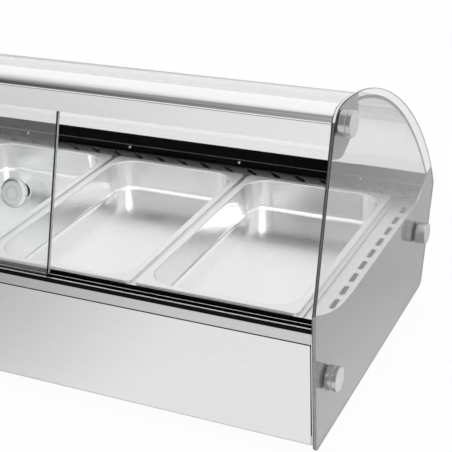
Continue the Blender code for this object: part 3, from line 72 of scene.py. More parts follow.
# Side glass outline, in Y and Z
PANE_FRONT_Y = -0.3475
PANE_FOOT_Z = 0.0300
KNEE_Z = 0.2960
BROW = (-0.2579, 0.5860)
CROWN = (-0.2070, 0.6150)
BACK = (0.3605, 0.2390)
HEEL_Y = 0.2870
PANE_CORNER = 0.0080
BROW_PULL_SHARES = (0.45, 0.55)
CROWN_PULL_SHARES = (0.339, 0.280)
CROWN_FALL = 0.0065
BACK_DIRECTION = (0.394, -0.919)

# Grey print on the inner face of the side glass
PRINT_X = 0.5643
PRINT_THICKNESS = 0.0004
PRINT_INSET = 0.0010
PRINT_FRONT_Z = 0.2970
PRINT_LEVEL = (-0.1500, 0.2437)
PRINT_LEVEL_END = (0.2380, 0.2437)
PRINT_BACK = (0.3030, 0.2785)
PRINT_EXIT_Z = 0.2850
PATCH_BACK_Y = -0.1380
PATCH_TURN_Z = 0.5750
PATCH_LOW = (-0.2180, 0.5235)
PATCH_FRONT_Z = 0.5385

# Stand-off knobs, in Y and Z
STANDOFFS = {"upper": (-0.2335, 0.5880), "rear": (0.2330, 0.1805), "front": (-0.2970, 0.1530)}
STUD_REACH = {"upper": 0.0045, "rear": 0.0090, "front": 0.0090}
STUD_HOLE_R = 0.0055
STUD_R = 0.0045
WASHER_R = 0.0170
WASHER_THICKNESS = 0.0015
DIMPLE_SHARE = 0.30
DIMPLE_DEPTH = 0.0004
WAIST_SHARE = 0.62
WAIST_DEPTH = 0.0009
RIM_CHAMFER = 0.0012
FOOT_CHAMFER = 0.0018

# Bent glass
BENT_START = (-0.2220, 0.6044)
BENT_END = (0.3210, 0.2710)
BENT_START_WAY = (0.2200, -0.0066)
BENT_END_PULL = 0.2300
BENT_END_DIRECTION = (0.550, -0.835)

# Hood rail and lamp
RAIL_FOOT_Z = 0.5920
RAIL_DEPTH = 0.0280
RAIL_RISE = 0.0170
RAIL_CREST_Y = -0.2270
RAIL_BACK_Y = -0.1960
RAIL_BACK_DROP = 0.0035
RAIL_LIP_Z = 0.6042
RAIL_STEPS = 28
SHEET = 0.0015
LAMP_CAP = 0.0140

# Sliding doors, as their grooves hold them
LEAN_DEGREES = 17.5
LEAN = radians(LEAN_DEGREES)
DOOR_REST = SEAT_GAP + 0.0025 * sin(LEAN)
DOOR_FOOT_Z = 0.2633 + DOOR_REST
FRONT_DOOR_Y = -0.3395 + DOOR_REST * tan(LEAN)
REAR_DOOR_Y = FRONT_DOOR_Y + 0.0100
DOOR_HEIGHT = (0.5830 - DOOR_FOOT_Z) / cos(LEAN)
DOOR_WIDTH = 0.6105
DOOR_EDGE_X = 0.0540
KNOB_EDGE = 0.0558
KNOB_HEIGHT_SHARE = 0.455
KNOB_HOLE_R = 0.0046
ROSETTE_THICKNESS = 0.0040
KNOB_STAND = 0.0240
KNOB_HEAD = 0.0140
# Radius, and fall from the top, over the crown of the door knob
KNOB_CROWN = ((0.0, 0.0), (0.0080, 0.00015), (0.0150, 0.0006), (0.0205, 0.0010),
              (0.0217, 0.0013), (0.0230, 0.0019), (0.0242, 0.0027), (0.0253, 0.0037),
              (0.0263, 0.0049), (0.0271, 0.0063), (0.0276, 0.0079), (0.0276, 0.0100))

# Pans
PAN_BODIES = ("pan_left", "pan_middle", "pan_right")
PAN_PITCH = 0.3340
PAN_CENTRE_Y = 0.0273
PAN_HALF = (0.1625, 0.2650)
PAN_FLANGE = 0.0150
PAN_DRAFT = 0.0040
PAN_DEPTH = 0.0650
PAN_SHEET = 0.0010
PAN_LIP_R = 0.0018
PAN_LIP_Z = -0.0052
PAN_MOUTH_R = 0.0030
PAN_FLOOR_R = 0.0080
PAN_CORNER = 0.0120
PAN_WELL_CORNER = 0.0670
FLANGE_Z = 0.2270

# Slots, outlet and channel
SLOT_X = 0.5360
SLOT_LENGTH = 0.0345
SLOT_WIDTH = 0.0098
SLOT_CORNER = 0.0030
SLOT_CENTRE_Y = 0.0335
SLOT_PITCH = 0.0516
SLOT_COUNT = 9
DECK_Z = 0.2215
OUTLET_MIDDLE = (0.3044, 0.22765)
OUTLET_SLOPE = degrees(atan2(0.0123, 0.0108))
OUTLET_TILT = radians(20.0)
OUTLET_PITCH = 0.0576
OUTLET_COUNT = 19
OUTLET_SLOT = {"Slot length": 0.0250, "Slot width": 0.0046, "Corner": 0.0020, "Rim": 0.0008}
SCREW_Z = 0.2440
# Height of a grey line on the rear channel, a painted highlight for its upper lip
HIGHLIGHT_LINE_Z = 0.2510
SCREW_PITCH = 0.2795
SCREW_COUNT = 4

# Stage: ways to the dark side of the room and to the gap between its lamps, seen in metal
DARK_SIDE = (-0.82, -0.50, 0.28)
DARK_ABOVE = (-0.40, -0.30, 0.866)
FLOOR_HALF = 7.0
LAMP_AIM = (0.0, 0.0, 0.25)

# Controls
DIAL = (-0.4600, 0.1400)
FRONT_Y = -0.3450
DIAL_SCALE = {"Count": 10, "Radius": 0.0262, "Length": 0.0032, "Start": -135.0,
              "Sweep": 270.0}
PILOT_X = -0.3080
# Share of the radius, and fall from the top, over the pilot lamp's lens and bezel
PILOT_CROWN = ((0.0, 0.0), (0.35, 0.0002), (0.62, 0.0009), (0.76, 0.0021), (0.80, 0.0030),
               (0.97, 0.0031), (1.0, 0.0036))


def amount(name, text, default, low=0.0, high=2.0, **kind):
    return bpy.props.FloatProperty(name=name, description=text, default=default, min=low,
                                   max=high, **kind)


def length(name, text, default):
    return amount(name, text, default, unit="LENGTH", precision=4)


def share(name, text, default, high=1.0):
    return amount(name, text, default, high=high, subtype="FACTOR")


def power(name, text, default):
    return amount(name, text, default, high=1000.0, unit="POWER")


def angle(name, text, default):
    return bpy.props.FloatProperty(name=name, description=text, default=default,
                                   unit="ROTATION")


def colour(name, text, default):
    return bpy.props.FloatVectorProperty(name=name, description=text, default=default, size=3,
                                         min=0.0, max=1.0, subtype="COLOR")


class CaseSizes(bpy.types.PropertyGroup):
    """Sizes of the finish that the solids leave open."""
    inner_half_x: length("Inner half width", "From the middle to the inner face of each side "
                         "glass", GLASS_LOW[0])
    pane: length("Pane", "Thickness of the side glass and the bent glass",
                 GLASS_HIGH[0] - GLASS_LOW[0])
    door_pane: length("Door pane", "Thickness of each sliding door", 0.0050)
    glass_arris: length("Glass arris", "Width of the polished edge of the glass", 0.0009)
    sheet_edge: length("Sheet edge", "Rounding on folded and cut sheet", 0.0005)
    standoff_radius: length("Stand-off radius", "Radius of the knobs on the side glass", 0.0220)
    standoff_length: length("Stand-off length", "How far those knobs stand out", 0.0240)
    slot_rim: length("Slot rim", "Radius of the rolled rim of each air slot", 0.0006)
    screw_head: length("Screw head", "Radius of the screw heads in the rear channel", 0.0036)


class CaseColours(bpy.types.PropertyGroup):
    """Colours and finishes that a user would change."""
    panel: colour("Panel steel", "Brushed steel of the panels", (0.80, 0.80, 0.795))
    deck: colour("Deck steel", "Brushed steel of the deck", (0.86, 0.86, 0.86))
    pan: colour("Pan steel", "Bright pressed steel of the pans", (0.94, 0.94, 0.94))
    hood: colour("Hood metal", "Satin metal of the rail and fascia", (0.84, 0.84, 0.84))
    printed: colour("Print", "Grey print on the side glass", (0.285, 0.285, 0.278))
    track: colour("Track", "Black of the tracks and the rear channel", (0.002, 0.002, 0.002))
    glass: colour("Glass", "Tint of clear glass, over one pane", (0.887, 0.893, 0.890))
    edge: colour("Glass edge", "Polished edge of the glass", (0.012, 0.015, 0.014))
    power: colour("Power rocker", "Rocker of the heat switch", (0.03, 0.42, 0.10))
    panel_roughness: share("Panel roughness", "How soft the panels mirror", 0.30)


class StageSettings(bpy.types.PropertyGroup):
    """Camera and light of the picture."""
    eye: bpy.props.FloatVectorProperty(name="Eye", description="Place of the camera", size=3,
                                       default=(1.136947, -1.8277211, 1.2305538),
                                       unit="LENGTH", precision=4)
    heading: angle("Heading", "Turn to the left of +Y", 0.4514)
    pitch: angle("Pitch", "Tilt below the horizon", 0.4510)
    roll: angle("Roll", "Turn about the line of sight", -0.0444)
    lens: amount("Lens", "Focal length on a 36 mm sensor", 90.96, 20.0, 300.0, unit="CAMERA")
    key: power("Key", "Power of the soft key light", 46.0)
    fill: power("Fill", "Power of the soft overhead light", 16.0)
    room: share("Room", "Light that the white room throws on matt surfaces", 0.80, high=2.0)
    dark_side: share("Dark side", "How dark metal sees the operator's side of the room", 0.96)


# Outlines

def curve(start, start_way, end_way, end, steps):
    """Points of a Bezier curve that leaves and arrives along two ways."""
    knots = (start, (start[0] + start_way[0], start[1] + start_way[1]),
             (end[0] - end_way[0], end[1] - end_way[1]), end)
    found = interpolate_bezier(*[Vector((u, v, 0.0)) for u, v in knots], steps + 1)
    return [(point.x, point.y) for point in found]


def arc(centre, radius, start, end, steps):
    angles = [radians(start + (end - start) * i / steps) for i in range(steps + 1)]
    return [(centre[0] + radius * cos(a), centre[1] + radius * sin(a)) for a in angles]


def circle(centre, radius, steps=40):
    return arc(centre, radius, 0.0, 360.0, steps)[:-1]


def pane_outline():
    foot = arc((PANE_FRONT_Y + PANE_CORNER, PANE_FOOT_Z + PANE_CORNER), PANE_CORNER,
               270.0, 180.0, 10)
    slope = Vector((BROW[0] - PANE_FRONT_Y, BROW[1] - KNEE_Z)).normalized()
    pull = hypot(CROWN[0] - BROW[0], CROWN[1] - BROW[1]) * BROW_PULL_SHARES[0]
    brow = curve(BROW, slope * pull, ((CROWN[0] - BROW[0]) * BROW_PULL_SHARES[1], 0.0), CROWN,
                 CURVE_STEPS // 3)
    chord = hypot(BACK[0] - CROWN[0], BACK[1] - CROWN[1])
    arch = curve(CROWN, (chord * CROWN_PULL_SHARES[0], -CROWN_FALL),
                 Vector(BACK_DIRECTION) * chord * CROWN_PULL_SHARES[1], BACK, CURVE_STEPS)
    heel = [(HEEL_Y + PANE_CORNER * (BACK[0] - HEEL_Y) / (BACK[1] - PANE_FOOT_Z),
             PANE_FOOT_Z + PANE_CORNER), (HEEL_Y - PANE_CORNER, PANE_FOOT_Z)]
    return foot + [(PANE_FRONT_Y, KNEE_Z)] + brow + arch[1:] + heel


def moved(points, inset, closed=False, least=0.3):
    """Points moved by inset to the right of the way that they run."""
    found = []
    last = len(points) - 1
    for i, here in enumerate(points):
        here = Vector(here)
        first = here - Vector(points[i - 1 if closed else max(0, i - 1)])
        second = Vector(points[(i + 1) % len(points) if closed else min(last, i + 1)]) - here
        first = (first if closed or i else second).normalized()
        second = (second if closed or i < last else first).normalized()
        normal = Vector((first.y + second.y, -first.x - second.x)).normalized()
        lean = max(least, normal.dot(Vector((first.y, -first.x))))
        found.append(tuple(here + normal * (inset / lean)))
    return found


def front_edge(height):
    """Where the print meets the front edge of the pane."""
    run = (BROW[0] - PANE_FRONT_Y) / (BROW[1] - KNEE_Z)
    return PANE_FRONT_Y + max(0.0, height - KNEE_Z) * run + PRINT_INSET, height


def print_field():
    """Print over the base, with its swept top edge."""
    inner = moved(pane_outline(), PRINT_INSET, closed=True, least=0.4)
    front = [p for p in inner if p[0] < 0.0 and p[1] < PRINT_FRONT_Z]
    start = front_edge(PRINT_FRONT_Z)
    reach = PRINT_LEVEL[0] - start[0]
    sweep = curve(start, (0.3 * reach, -0.0277), (0.45 * reach, 0.0), PRINT_LEVEL, 20)
    run = PRINT_BACK[0] - PRINT_LEVEL_END[0]
    lift = curve(PRINT_LEVEL_END, (0.5 * run, 0.0), (0.4 * run, 0.008), PRINT_BACK, 14)
    back = [p for p in inner if p[0] > 0.0 and p[1] < PRINT_EXIT_Z]
    leaving = min((p for p in inner if p[0] > 0.0 and p[1] >= PRINT_EXIT_Z),
                  key=lambda p: p[1])
    return front + sweep + lift + [(leaving[0] - 0.0005, PRINT_EXIT_Z)] + back


def print_patch():
    """Print over the end of the hood."""
    inner = [p for p in moved(pane_outline(), PRINT_INSET, closed=True, least=0.4)
             if p[1] > PATCH_FRONT_Z and p[0] < PATCH_BACK_Y]
    drop = PATCH_TURN_Z - PATCH_LOW[1]
    under = curve((PATCH_BACK_Y, PATCH_TURN_Z), (0.0, -0.25 * drop), (-0.35 * drop, 0.0),
                  PATCH_LOW, 24)
    rise = curve(PATCH_LOW, (-0.014, 0.0), (-0.018, 0.007), front_edge(PATCH_FRONT_Z), 10)
    return inner + [(PATCH_BACK_Y, inner[-1][1] - 0.0004)] + under + rise[1:]


def walled(path, thickness):
    """Closed outline of a sheet whose outer face runs along path."""
    return list(path) + moved(path, thickness)[::-1]


def rounded_rectangle(half_x, half_y, radius, steps):
    points = []
    for sign_x, sign_y, start in ((1, 1, 0.0), (-1, 1, 90.0), (-1, -1, 180.0), (1, -1, 270.0)):
        centre = (sign_x * (half_x - radius), sign_y * (half_y - radius))
        points += arc(centre, radius, start, start + 90.0, steps)
    return points


# Mesh tools

TO_SIDE = Matrix(((0, 0, 1, 0), (1, 0, 0, 0), (0, 1, 0, 0), (0, 0, 0, 1)))
TO_DOOR = Matrix(((1, 0, 0, 0), (0, 0, -1, 0), (0, 1, 0, 0), (0, 0, 0, 1)))


def at(spot, turn=0.0, axis="Z"):
    """The matrix of a turn in degrees about one axis and a move to spot."""
    return Matrix.Translation(spot) @ Matrix.Rotation(radians(turn), 4, axis)


def put(thing, **values):
    """Set several values of a thing, and give it back."""
    for key, value in values.items():
        setattr(thing, key, value)
    return thing


def linked(name, data):
    piece = bpy.data.objects.new(name, data)
    bpy.context.scene.collection.objects.link(piece)
    return piece


def frozen(piece):
    """Apply the live modifiers, so the piece is a plain mesh."""
    bpy.context.view_layer.update()
    graph = bpy.context.evaluated_depsgraph_get()
    mesh = bpy.data.meshes.new_from_object(piece.evaluated_get(graph))
    mesh.name = name = piece.name
    if piece.type != "MESH":
        bpy.data.objects.remove(piece, do_unlink=True)
        return linked(name, mesh)
    piece.modifiers.clear()
    old = piece.data
    piece.data = mesh
    bpy.data.meshes.remove(old)
    return piece


def rounded(piece, width, segments=2, limit=40.0, smooth=35.0):
    """Round the sharp edges and shade the rest smooth."""
    if width > 0.0:
        put(piece.modifiers.new("edge", "BEVEL"), width=width, segments=segments,
            limit_method="ANGLE", angle_limit=radians(limit))
        piece = frozen(piece)
    piece.data.shade_smooth()
    piece.data.set_sharp_from_angle(angle=radians(smooth))
    put(piece.modifiers.new("weigh", "WEIGHTED_NORMAL"), keep_sharp=True, weight=80)
    return frozen(piece)


def made(name, work):
    """The piece that a bmesh holds."""
    mesh = bpy.data.meshes.new(name)
    work.to_mesh(mesh)
    work.free()
    return linked(name, mesh)


def outward(work):
    bmesh.ops.remove_doubles(work, verts=work.verts, dist=WELD)
    bmesh.ops.recalc_face_normals(work, faces=work.faces)


def bridged(work, loops):
    """Faces from each loop of points to the next; a loop of one point is a pole."""
    for upper, lower in zip(loops, loops[1:]):
        count = max(len(upper), len(lower))
        for i in range(count):
            j = (i + 1) % count
            corners = (upper[i % len(upper)], upper[j % len(upper)],
                       lower[j % len(lower)], lower[i % len(lower)])
            work.faces.new(list(dict.fromkeys(corners)))
    outward(work)


def swept(name, outline, low, high):
    """A closed outline in Y and Z, drawn along X."""
    work = bmesh.new()
    ends = [[work.verts.new((x, u, v)) for u, v in outline] for x in (low, high)]
    for end in ends:
        work.faces.new(end)
    bridged(work, ends)
    return made(name, work)


def cut_plate(name, loops, thickness, arris, matrix):
    """A flat plate with holes and an arris on every edge, middle plane at the matrix."""
    flat = put(bpy.data.curves.new(name, "CURVE"), dimensions="2D", fill_mode="BOTH",
               extrude=thickness / 2 - arris, bevel_depth=arris,
               bevel_resolution=1 if arris else 0, offset=-arris)
    for loop in loops:
        spline = flat.splines.new("POLY")
        spline.points.add(len(loop) - 1)
        for point, (u, v) in zip(spline.points, loop):
            point.co = (u, v, 0.0, 1.0)
        spline.use_cyclic_u = True
    piece = frozen(linked(name, flat))
    work = bmesh.new()
    work.from_mesh(piece.data)
    outward(work)
    work.to_mesh(piece.data)
    work.free()
    piece.data.transform(matrix)
    return piece


def mirrored(piece, name):
    mesh = piece.data.copy()
    mesh.transform(Matrix.Scale(-1, 4, (1, 0, 0)))
    mesh.flip_normals()
    mesh.name = name
    stored = mesh.attributes.get("custom_normal")
    if stored:
        mesh.attributes.remove(stored)
    return rounded(linked(name, mesh), 0.0)


def spun(name, profile, matrix, steps=ROUND_STEPS, edge=0.0):
    """A turned piece about its own Z, from the top of its axis to the bottom."""
    work = bmesh.new()
    bridged(work, [[work.verts.new((u, v, height)) for u, v in
                    (circle((0.0, 0.0), radius, steps) if radius else [(0.0, 0.0)])]
                   for radius, height in profile])
    piece = rounded(made(name, work), edge, segments=3, limit=25.0, smooth=40.0)
    piece.data.transform(matrix)
    return piece


def from_solid(node, name, width=0.0, segments=2):
    """A copy of a CAD node's mesh with its flat faces joined and its edges rounded."""
    work = bmesh.new()
    work.from_mesh(NODES[node].data)
    bmesh.ops.remove_doubles(work, verts=work.verts, dist=WELD)
    bmesh.ops.dissolve_limit(work, angle_limit=radians(0.6), verts=work.verts,
                             edges=work.edges, use_dissolve_boundaries=False)
    return rounded(made(name, work), width, segments)


def drawn_tray(name, rings, centre, thickness):
    """A tray drawn through rounded rectangles from its rim to its floor."""
    work = bmesh.new()
    loops = [[work.verts.new((u, v, height)) for u, v in
              rounded_rectangle(half_x, half_y, radius, 10)]
             for half_x, half_y, radius, height in rings]
    work.faces.new(loops[-1])
    bridged(work, loops)
    floor = max(work.faces, key=lambda f: f.calc_area())
    if floor.normal.z < 0.0:
        bmesh.ops.reverse_faces(work, faces=work.faces)
    piece = made(name, work)
    put(piece.modifiers.new("sheet", "SOLIDIFY"), thickness=thickness, offset=-1,
        use_even_offset=True)
    piece = rounded(frozen(piece), 0.0)
    piece.data.transform(Matrix.Translation(centre))
    return piece


def clad(piece, *materials, choose=None):
    """Give a piece its materials; choose gives the number of each face's own."""
    piece.data.materials.clear()
    for material in materials:
        piece.data.materials.append(material)
    if choose:
        for face in piece.data.polygons:
            face.material_index = int(choose(face))
    return piece


def glass_part(face, axis):
    """Number of a pane's clear face, arris or edge; axis runs through the pane."""
    across = abs(face.normal.dot(axis))
    return 0 if across > 0.97 else 1 if across > 0.2 else 2


def settle(piece, slot, *nodes, body="case"):
    """Give a finished piece its body and hide the CAD nodes that it stands for; slot is not used.
    """
    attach(piece, body)
    if nodes:
        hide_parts(*nodes)
    return piece


def skin(node, name, material, slot, width, segments=2, body="case"):
    """A CAD node's own shape with softened edges and a finish."""
    settle(clad(from_solid(node, name, width, segments), material), slot, node, body=body)


def dress(material, *nodes):
    """A better material on CAD nodes whose shape stays."""
    for node in nodes:
        NODES[node].material_slots[0].material = material


# Node trees

class Wiring:
    """Short calls that add nodes to a tree and wire them."""
    prefix = "ShaderNode"

    def __init__(self, tree):
        self.tree = tree
        tree.nodes.clear()

    def node(self, kind, inputs=(), **settings):
        """An input takes a value, a socket or the first output of a node."""
        node = put(self.tree.nodes.new(kind), **settings)
        for key, value in dict(inputs).items():
            if isinstance(value, bpy.types.Node):
                value = value.outputs[0]
            if isinstance(value, bpy.types.NodeSocket):
                self.tree.links.new(value, node.inputs[key])
            else:
                node.inputs[key].default_value = value
        return node

    def add(self, kind, inputs=(), **settings):
        return self.node(self.prefix + kind, inputs, **settings)

    def maths(self, operation, first, second=0.0):
        return self.node("ShaderNodeMath", {0: first, 1: second}, operation=operation)

    def span(self, value, low, high, start=0.25, end=0.75):
        return self.add("MapRange", {"Value": value, "From Min": start, "From Max": end,
                                     "To Min": low, "To Max": high})

    def measure(self, operation, where, other):
        return self.add("VectorMath", {0: where, 1: other}, operation=operation).outputs["Value"]

    def mix(self, part, first, second):
        return self.add("MixShader", {0: part, 1: first, 2: second})

    def rays(self):
        return self.add("LightPath").outputs


class Shading(Wiring):
    """A material's node tree."""

    def __init__(self, name):
        self.material = bpy.data.materials.new(name)
        self.material.use_nodes = True
        super().__init__(self.material.node_tree)

    def place(self, scale=(1.0, 1.0, 1.0), centre=(0.0, 0.0, 0.0)):
        """Object coordinates, scaled along each axis and counted from centre."""
        where = self.add("TexCoord").outputs["Object"]
        return self.add("Mapping", {"Vector": where, "Scale": scale,
                                    "Location": tuple(-value for value in centre)})

    def along(self, axis):
        return self.add("SeparateXYZ", {0: self.place()}).outputs[axis]

    def noise(self, scale, detail=2.0, roughness=0.6):
        """Noise of one scale, or of one for each axis."""
        if isinstance(scale, tuple):
            where, scale = self.place(scale), 1.0
        else:
            where = self.place()
        return self.add("TexNoise", {"Vector": where, "Scale": scale, "Detail": detail,
                                     "Roughness": roughness})

    def rings(self, centre, direction, scale, distortion):
        return self.add("TexWave", {
            "Vector": self.place(centre=centre), "Scale": scale, "Distortion": distortion,
            "Detail": 1.0}, wave_type="RINGS", rings_direction=direction).outputs["Fac"]

    def blend(self, part, first, second):
        pair = [(*value[:3], 1.0) if isinstance(value, tuple) else value
                for value in (first, second)]
        return self.add("Mix", {0: part, 6: pair[0], 7: pair[1]}, data_type="RGBA").outputs[2]

    def tone(self, grain, tint, low, high):
        """The tint times low to high, as the grain goes."""
        return self.blend(self.span(grain, 0.0, 1.0), scaled(tint, low), scaled(tint, high))

    def roughness(self, grain, middle, under=0.05, over=0.07):
        return self.span(grain, middle - under, middle + over)

    def done(self, shader):
        self.add("OutputMaterial", {"Surface": shader})
        return self.material

    def surface(self, tone, rough, relief=None, **more):
        """A plain surface; relief is height, strength and distance."""
        inputs = {"Base Color": tone, "Roughness": rough}
        inputs.update((key.replace("_", " "), value) for key, value in more.items())
        if relief:
            inputs["Normal"] = self.add("Bump", dict(zip(("Height", "Strength", "Distance"),
                                                         relief))).outputs["Normal"]
        return self.done(self.add("BsdfPrincipled", inputs))


# Materials

FINISHES = {}


def finish(name, maker, *values):
    """One material of each name, made when it is first asked for."""
    if name not in FINISHES:
        FINISHES[name] = maker(name, *values)
    return FINISHES[name]


def scaled(tint, factor):
    return tuple(min(1.0, value * factor) for value in tint[:3])


def grey(value):
    return (value, value, value)


def stretched(axis, along, across):
    return tuple(along if i == axis else across for i in range(3))


def brushed(name, tint, roughness, axis=0, grain=1500.0, depth=0.10, contrast=0.06):
    """Brushed or satin sheet: fine lines along one axis, broad faint streaks, handling haze."""
    look = Shading(name)
    lines = look.noise(stretched(axis, 9.0, grain))
    streaks = look.noise(stretched(axis, 1.6, grain / 9.0), 3.0)
    haze = look.noise(7.0, 4.0, 0.55)
    rough = look.maths("ADD", look.roughness(lines, roughness), look.span(haze, -0.02, 0.03))
    tone = look.tone(streaks, tint, 1.0 - contrast, 1.0 + contrast / 2)
    tone = look.blend(look.span(haze, 0.0, 0.35), tone, scaled(tint, 0.98))
    return look.surface(tone, rough, (lines, depth, 0.0002), Metallic=1.0)


def pressed(name, tint, roughness, flange):
    """Bright drawn steel with ripples and fine scuffs, satin from the height of its flange."""
    look = Shading(name)
    ripple = look.noise(26.0, 2.0, 0.4)
    haze = look.noise(9.0, 5.0)
    scuffs = look.noise((60.0, 900.0, 60.0), 3.0, 0.7)
    rough = look.maths("ADD", look.roughness(haze, roughness, 0.03, 0.05),
                       look.span(scuffs, 0.0, 0.05, 0.55, 0.75))
    satin = look.span(look.along("Z"), 0.0, 1.0, flange - 0.0030, flange - 0.0010)
    rough = look.maths("ADD", rough, look.maths("MULTIPLY", satin, 0.26))
    return look.surface(look.tone(haze, tint, 0.96, 1.0), rough, (ripple, 0.06, 0.002),
                        Metallic=look.span(satin, 1.0, 0.80))


def polished(name, tint, roughness):
    """Chrome or polished steel with faint finger haze."""
    look = Shading(name)
    haze = look.noise(55.0, 4.0)
    return look.surface(look.tone(haze, tint, 0.96, 1.0),
                        look.span(haze, roughness, roughness + 0.06, 0.4, 0.75), Metallic=1.0)


def lathe_turned(name, tint, roughness, centre):
    """Turned metal: fine rings round an axis along X through centre."""
    look = Shading(name)
    rings = look.rings((0.0, *centre), "X", 420.0, 0.1)
    haze = look.noise(60.0, 3.0, 0.5)
    rough = look.maths("ADD", look.span(rings, roughness, roughness + 0.05, 0.0, 1.0),
                       look.span(haze, 0.0, 0.05))
    return look.surface(look.tone(haze, tint, 0.95, 1.0), rough, (rings, 0.02, 0.0001),
                        Metallic=1.0)


def satin_turned(name, tint, roughness, centre):
    """Face turned and then blasted: faint rings round centre, light without a clear mirror."""
    look = Shading(name)
    rings = look.rings(centre, "SPHERICAL", 150.0, 0.6)
    return look.surface(look.blend(rings, scaled(tint, 0.90), scaled(tint, 1.06)),
                        look.span(rings, roughness, roughness + 0.08, 0.0, 1.0),
                        (rings, 0.10, 0.0001), Metallic=0.35)


def anodised(name, tint, roughness):
    """Black profile: satin, with drawing lines along X and a little dust on top."""
    look = Shading(name)
    lines = look.noise((5.0, 700.0, 700.0), 3.0)
    dust = look.noise(160.0, 4.0, 0.65)
    tone = look.blend(look.span(dust, 0.0, 0.5, 0.5, 0.9), tint, scaled(tint, 2.0))
    return look.surface(tone, look.roughness(lines, roughness), (lines, 0.05, 0.0002),
                        Specular_IOR_Level=0.05)


def clear_glass(name, tint, shade):
    """Clear pane that lets soft shadows through."""
    look = Shading(name)
    haze = look.noise(12.0, 4.0)
    pane = look.add("BsdfPrincipled", {
        "Base Color": (*tint, 1.0), "Transmission Weight": 1.0, "IOR": 1.5,
        "Roughness": look.span(haze, 0.0, 0.012, 0.45, 0.8)})
    through = look.add("BsdfTransparent", {"Color": (*shade, 1.0)})
    return look.done(look.mix(look.rays()["Is Shadow Ray"], pane, through))


def glass_edge(name, tint, inner=0.0):
    """Ground and polished edge, faintly streaked; given inner, painted shade makes it dark nearer
    the middle than inner in X.
    """
    look = Shading(name)
    streaks = look.noise(140.0, 3.0, 0.5)
    tone = look.tone(streaks, tint, 0.85, 1.2)
    # Painted shade: the part of the edge nearer the middle than inner is near-black, standing in
    # for the dark seen through the glass.
    if inner:
        out = look.maths("ABSOLUTE", look.along("X"))
        tone = look.blend(look.span(out, 0.0, 1.0, inner - 0.0003, inner + 0.0003),
                          (0.03, 0.032, 0.032), tone)
    return look.surface(tone, look.span(streaks, 0.14, 0.26), IOR=1.5, Specular_IOR_Level=0.2)


def fired_print(name, tint):
    """Ceramic ink fired on the back of the glass: even, with pin holes too fine to see."""
    look = Shading(name)
    grain = look.noise(900.0)
    cloud = look.noise(5.0, 3.0, 0.5)
    tone = look.blend(look.span(cloud, 0.0, 0.5), look.tone(grain, tint, 0.99, 1.01),
                      scaled(tint, 0.985))
    return look.surface(tone, look.span(grain, 0.44, 0.50), (grain, 0.05, 0.00001),
                        Specular_IOR_Level=0.05)


def moulded(name, tint, roughness, texture=1800.0):
    """Moulded plastic or rubber with a fine spark-eroded skin."""
    look = Shading(name)
    grain = look.noise(texture)
    return look.surface(look.tone(look.noise(40.0, 3.0, 0.5), tint, 0.9, 1.1),
                        look.roughness(grain, roughness, 0.06, 0.08), (grain, 0.12, 0.0002))


def lens(name, tint):
    """Coloured lens of a pilot lamp."""
    look = Shading(name)
    return look.surface(look.tone(look.noise(300.0, 2.0, 0.5), tint, 0.8, 1.15), 0.12,
                        Transmission_Weight=0.35, IOR=1.49, Coat_Weight=0.5,
                        Coat_Roughness=0.03)


def enamelled(name, tint, roughness):
    """Sprayed enamel with a little orange peel."""
    look = Shading(name)
    peel = look.noise(420.0, 2.0, 0.5)
    return look.surface(look.tone(look.noise(8.0, 3.0, 0.5), tint, 0.97, 1.02),
                        look.roughness(peel, roughness, 0.04, 0.05), (peel, 0.10, 0.0004))


def heat_stained(name, tint):
    """Heater sheath: dark oxide with straw and blue bands."""
    look = Shading(name)
    bands = look.noise((9.0, 22.0, 9.0), 3.0)
    speck = look.noise(700.0, 3.0)
    warm = look.blend(look.span(bands, 0.0, 1.0, 0.35, 0.7), tint, (0.30, 0.22, 0.15))
    return look.surface(warm, look.span(speck, 0.38, 0.55), (speck, 0.2, 0.0003),
                        Metallic=0.85)


def shade_painted_steel(name, tint, roughness):
    """Steel over a hot air outlet: brushed along X, with painted shade that darkens it toward its
    upper edge.
    """
    look = Shading(name)
    lines = look.noise((9.0, 1300.0, 1300.0))
    haze = look.noise((3.0, 30.0, 30.0), 3.0)
    depth = look.maths("ADD", look.along("Y"), look.span(haze, -0.001, 0.001))
    # Painted shade: toward the upper edge the tint falls to 0.16 of itself.
    tone = look.blend(look.span(depth, 0.0, 1.0, 0.2960, 0.3100), tint, scaled(tint, 0.16))
    return look.surface(tone, look.roughness(lines, roughness), (lines, 0.07, 0.0002),
                        Metallic=1.0)


def mineral_wool(name, tint):
    look = Shading(name)
    fibre = look.noise((90.0, 500.0, 240.0), 5.0, 0.7)
    clump = look.noise(30.0, 3.0)
    tone = look.blend(look.span(clump, 0.0, 0.4), look.tone(fibre, tint, 0.7, 1.25),
                      scaled(tint, 0.8))
    return look.surface(tone, 0.92, (fibre, 0.8, 0.002), Sheen_Weight=0.3)


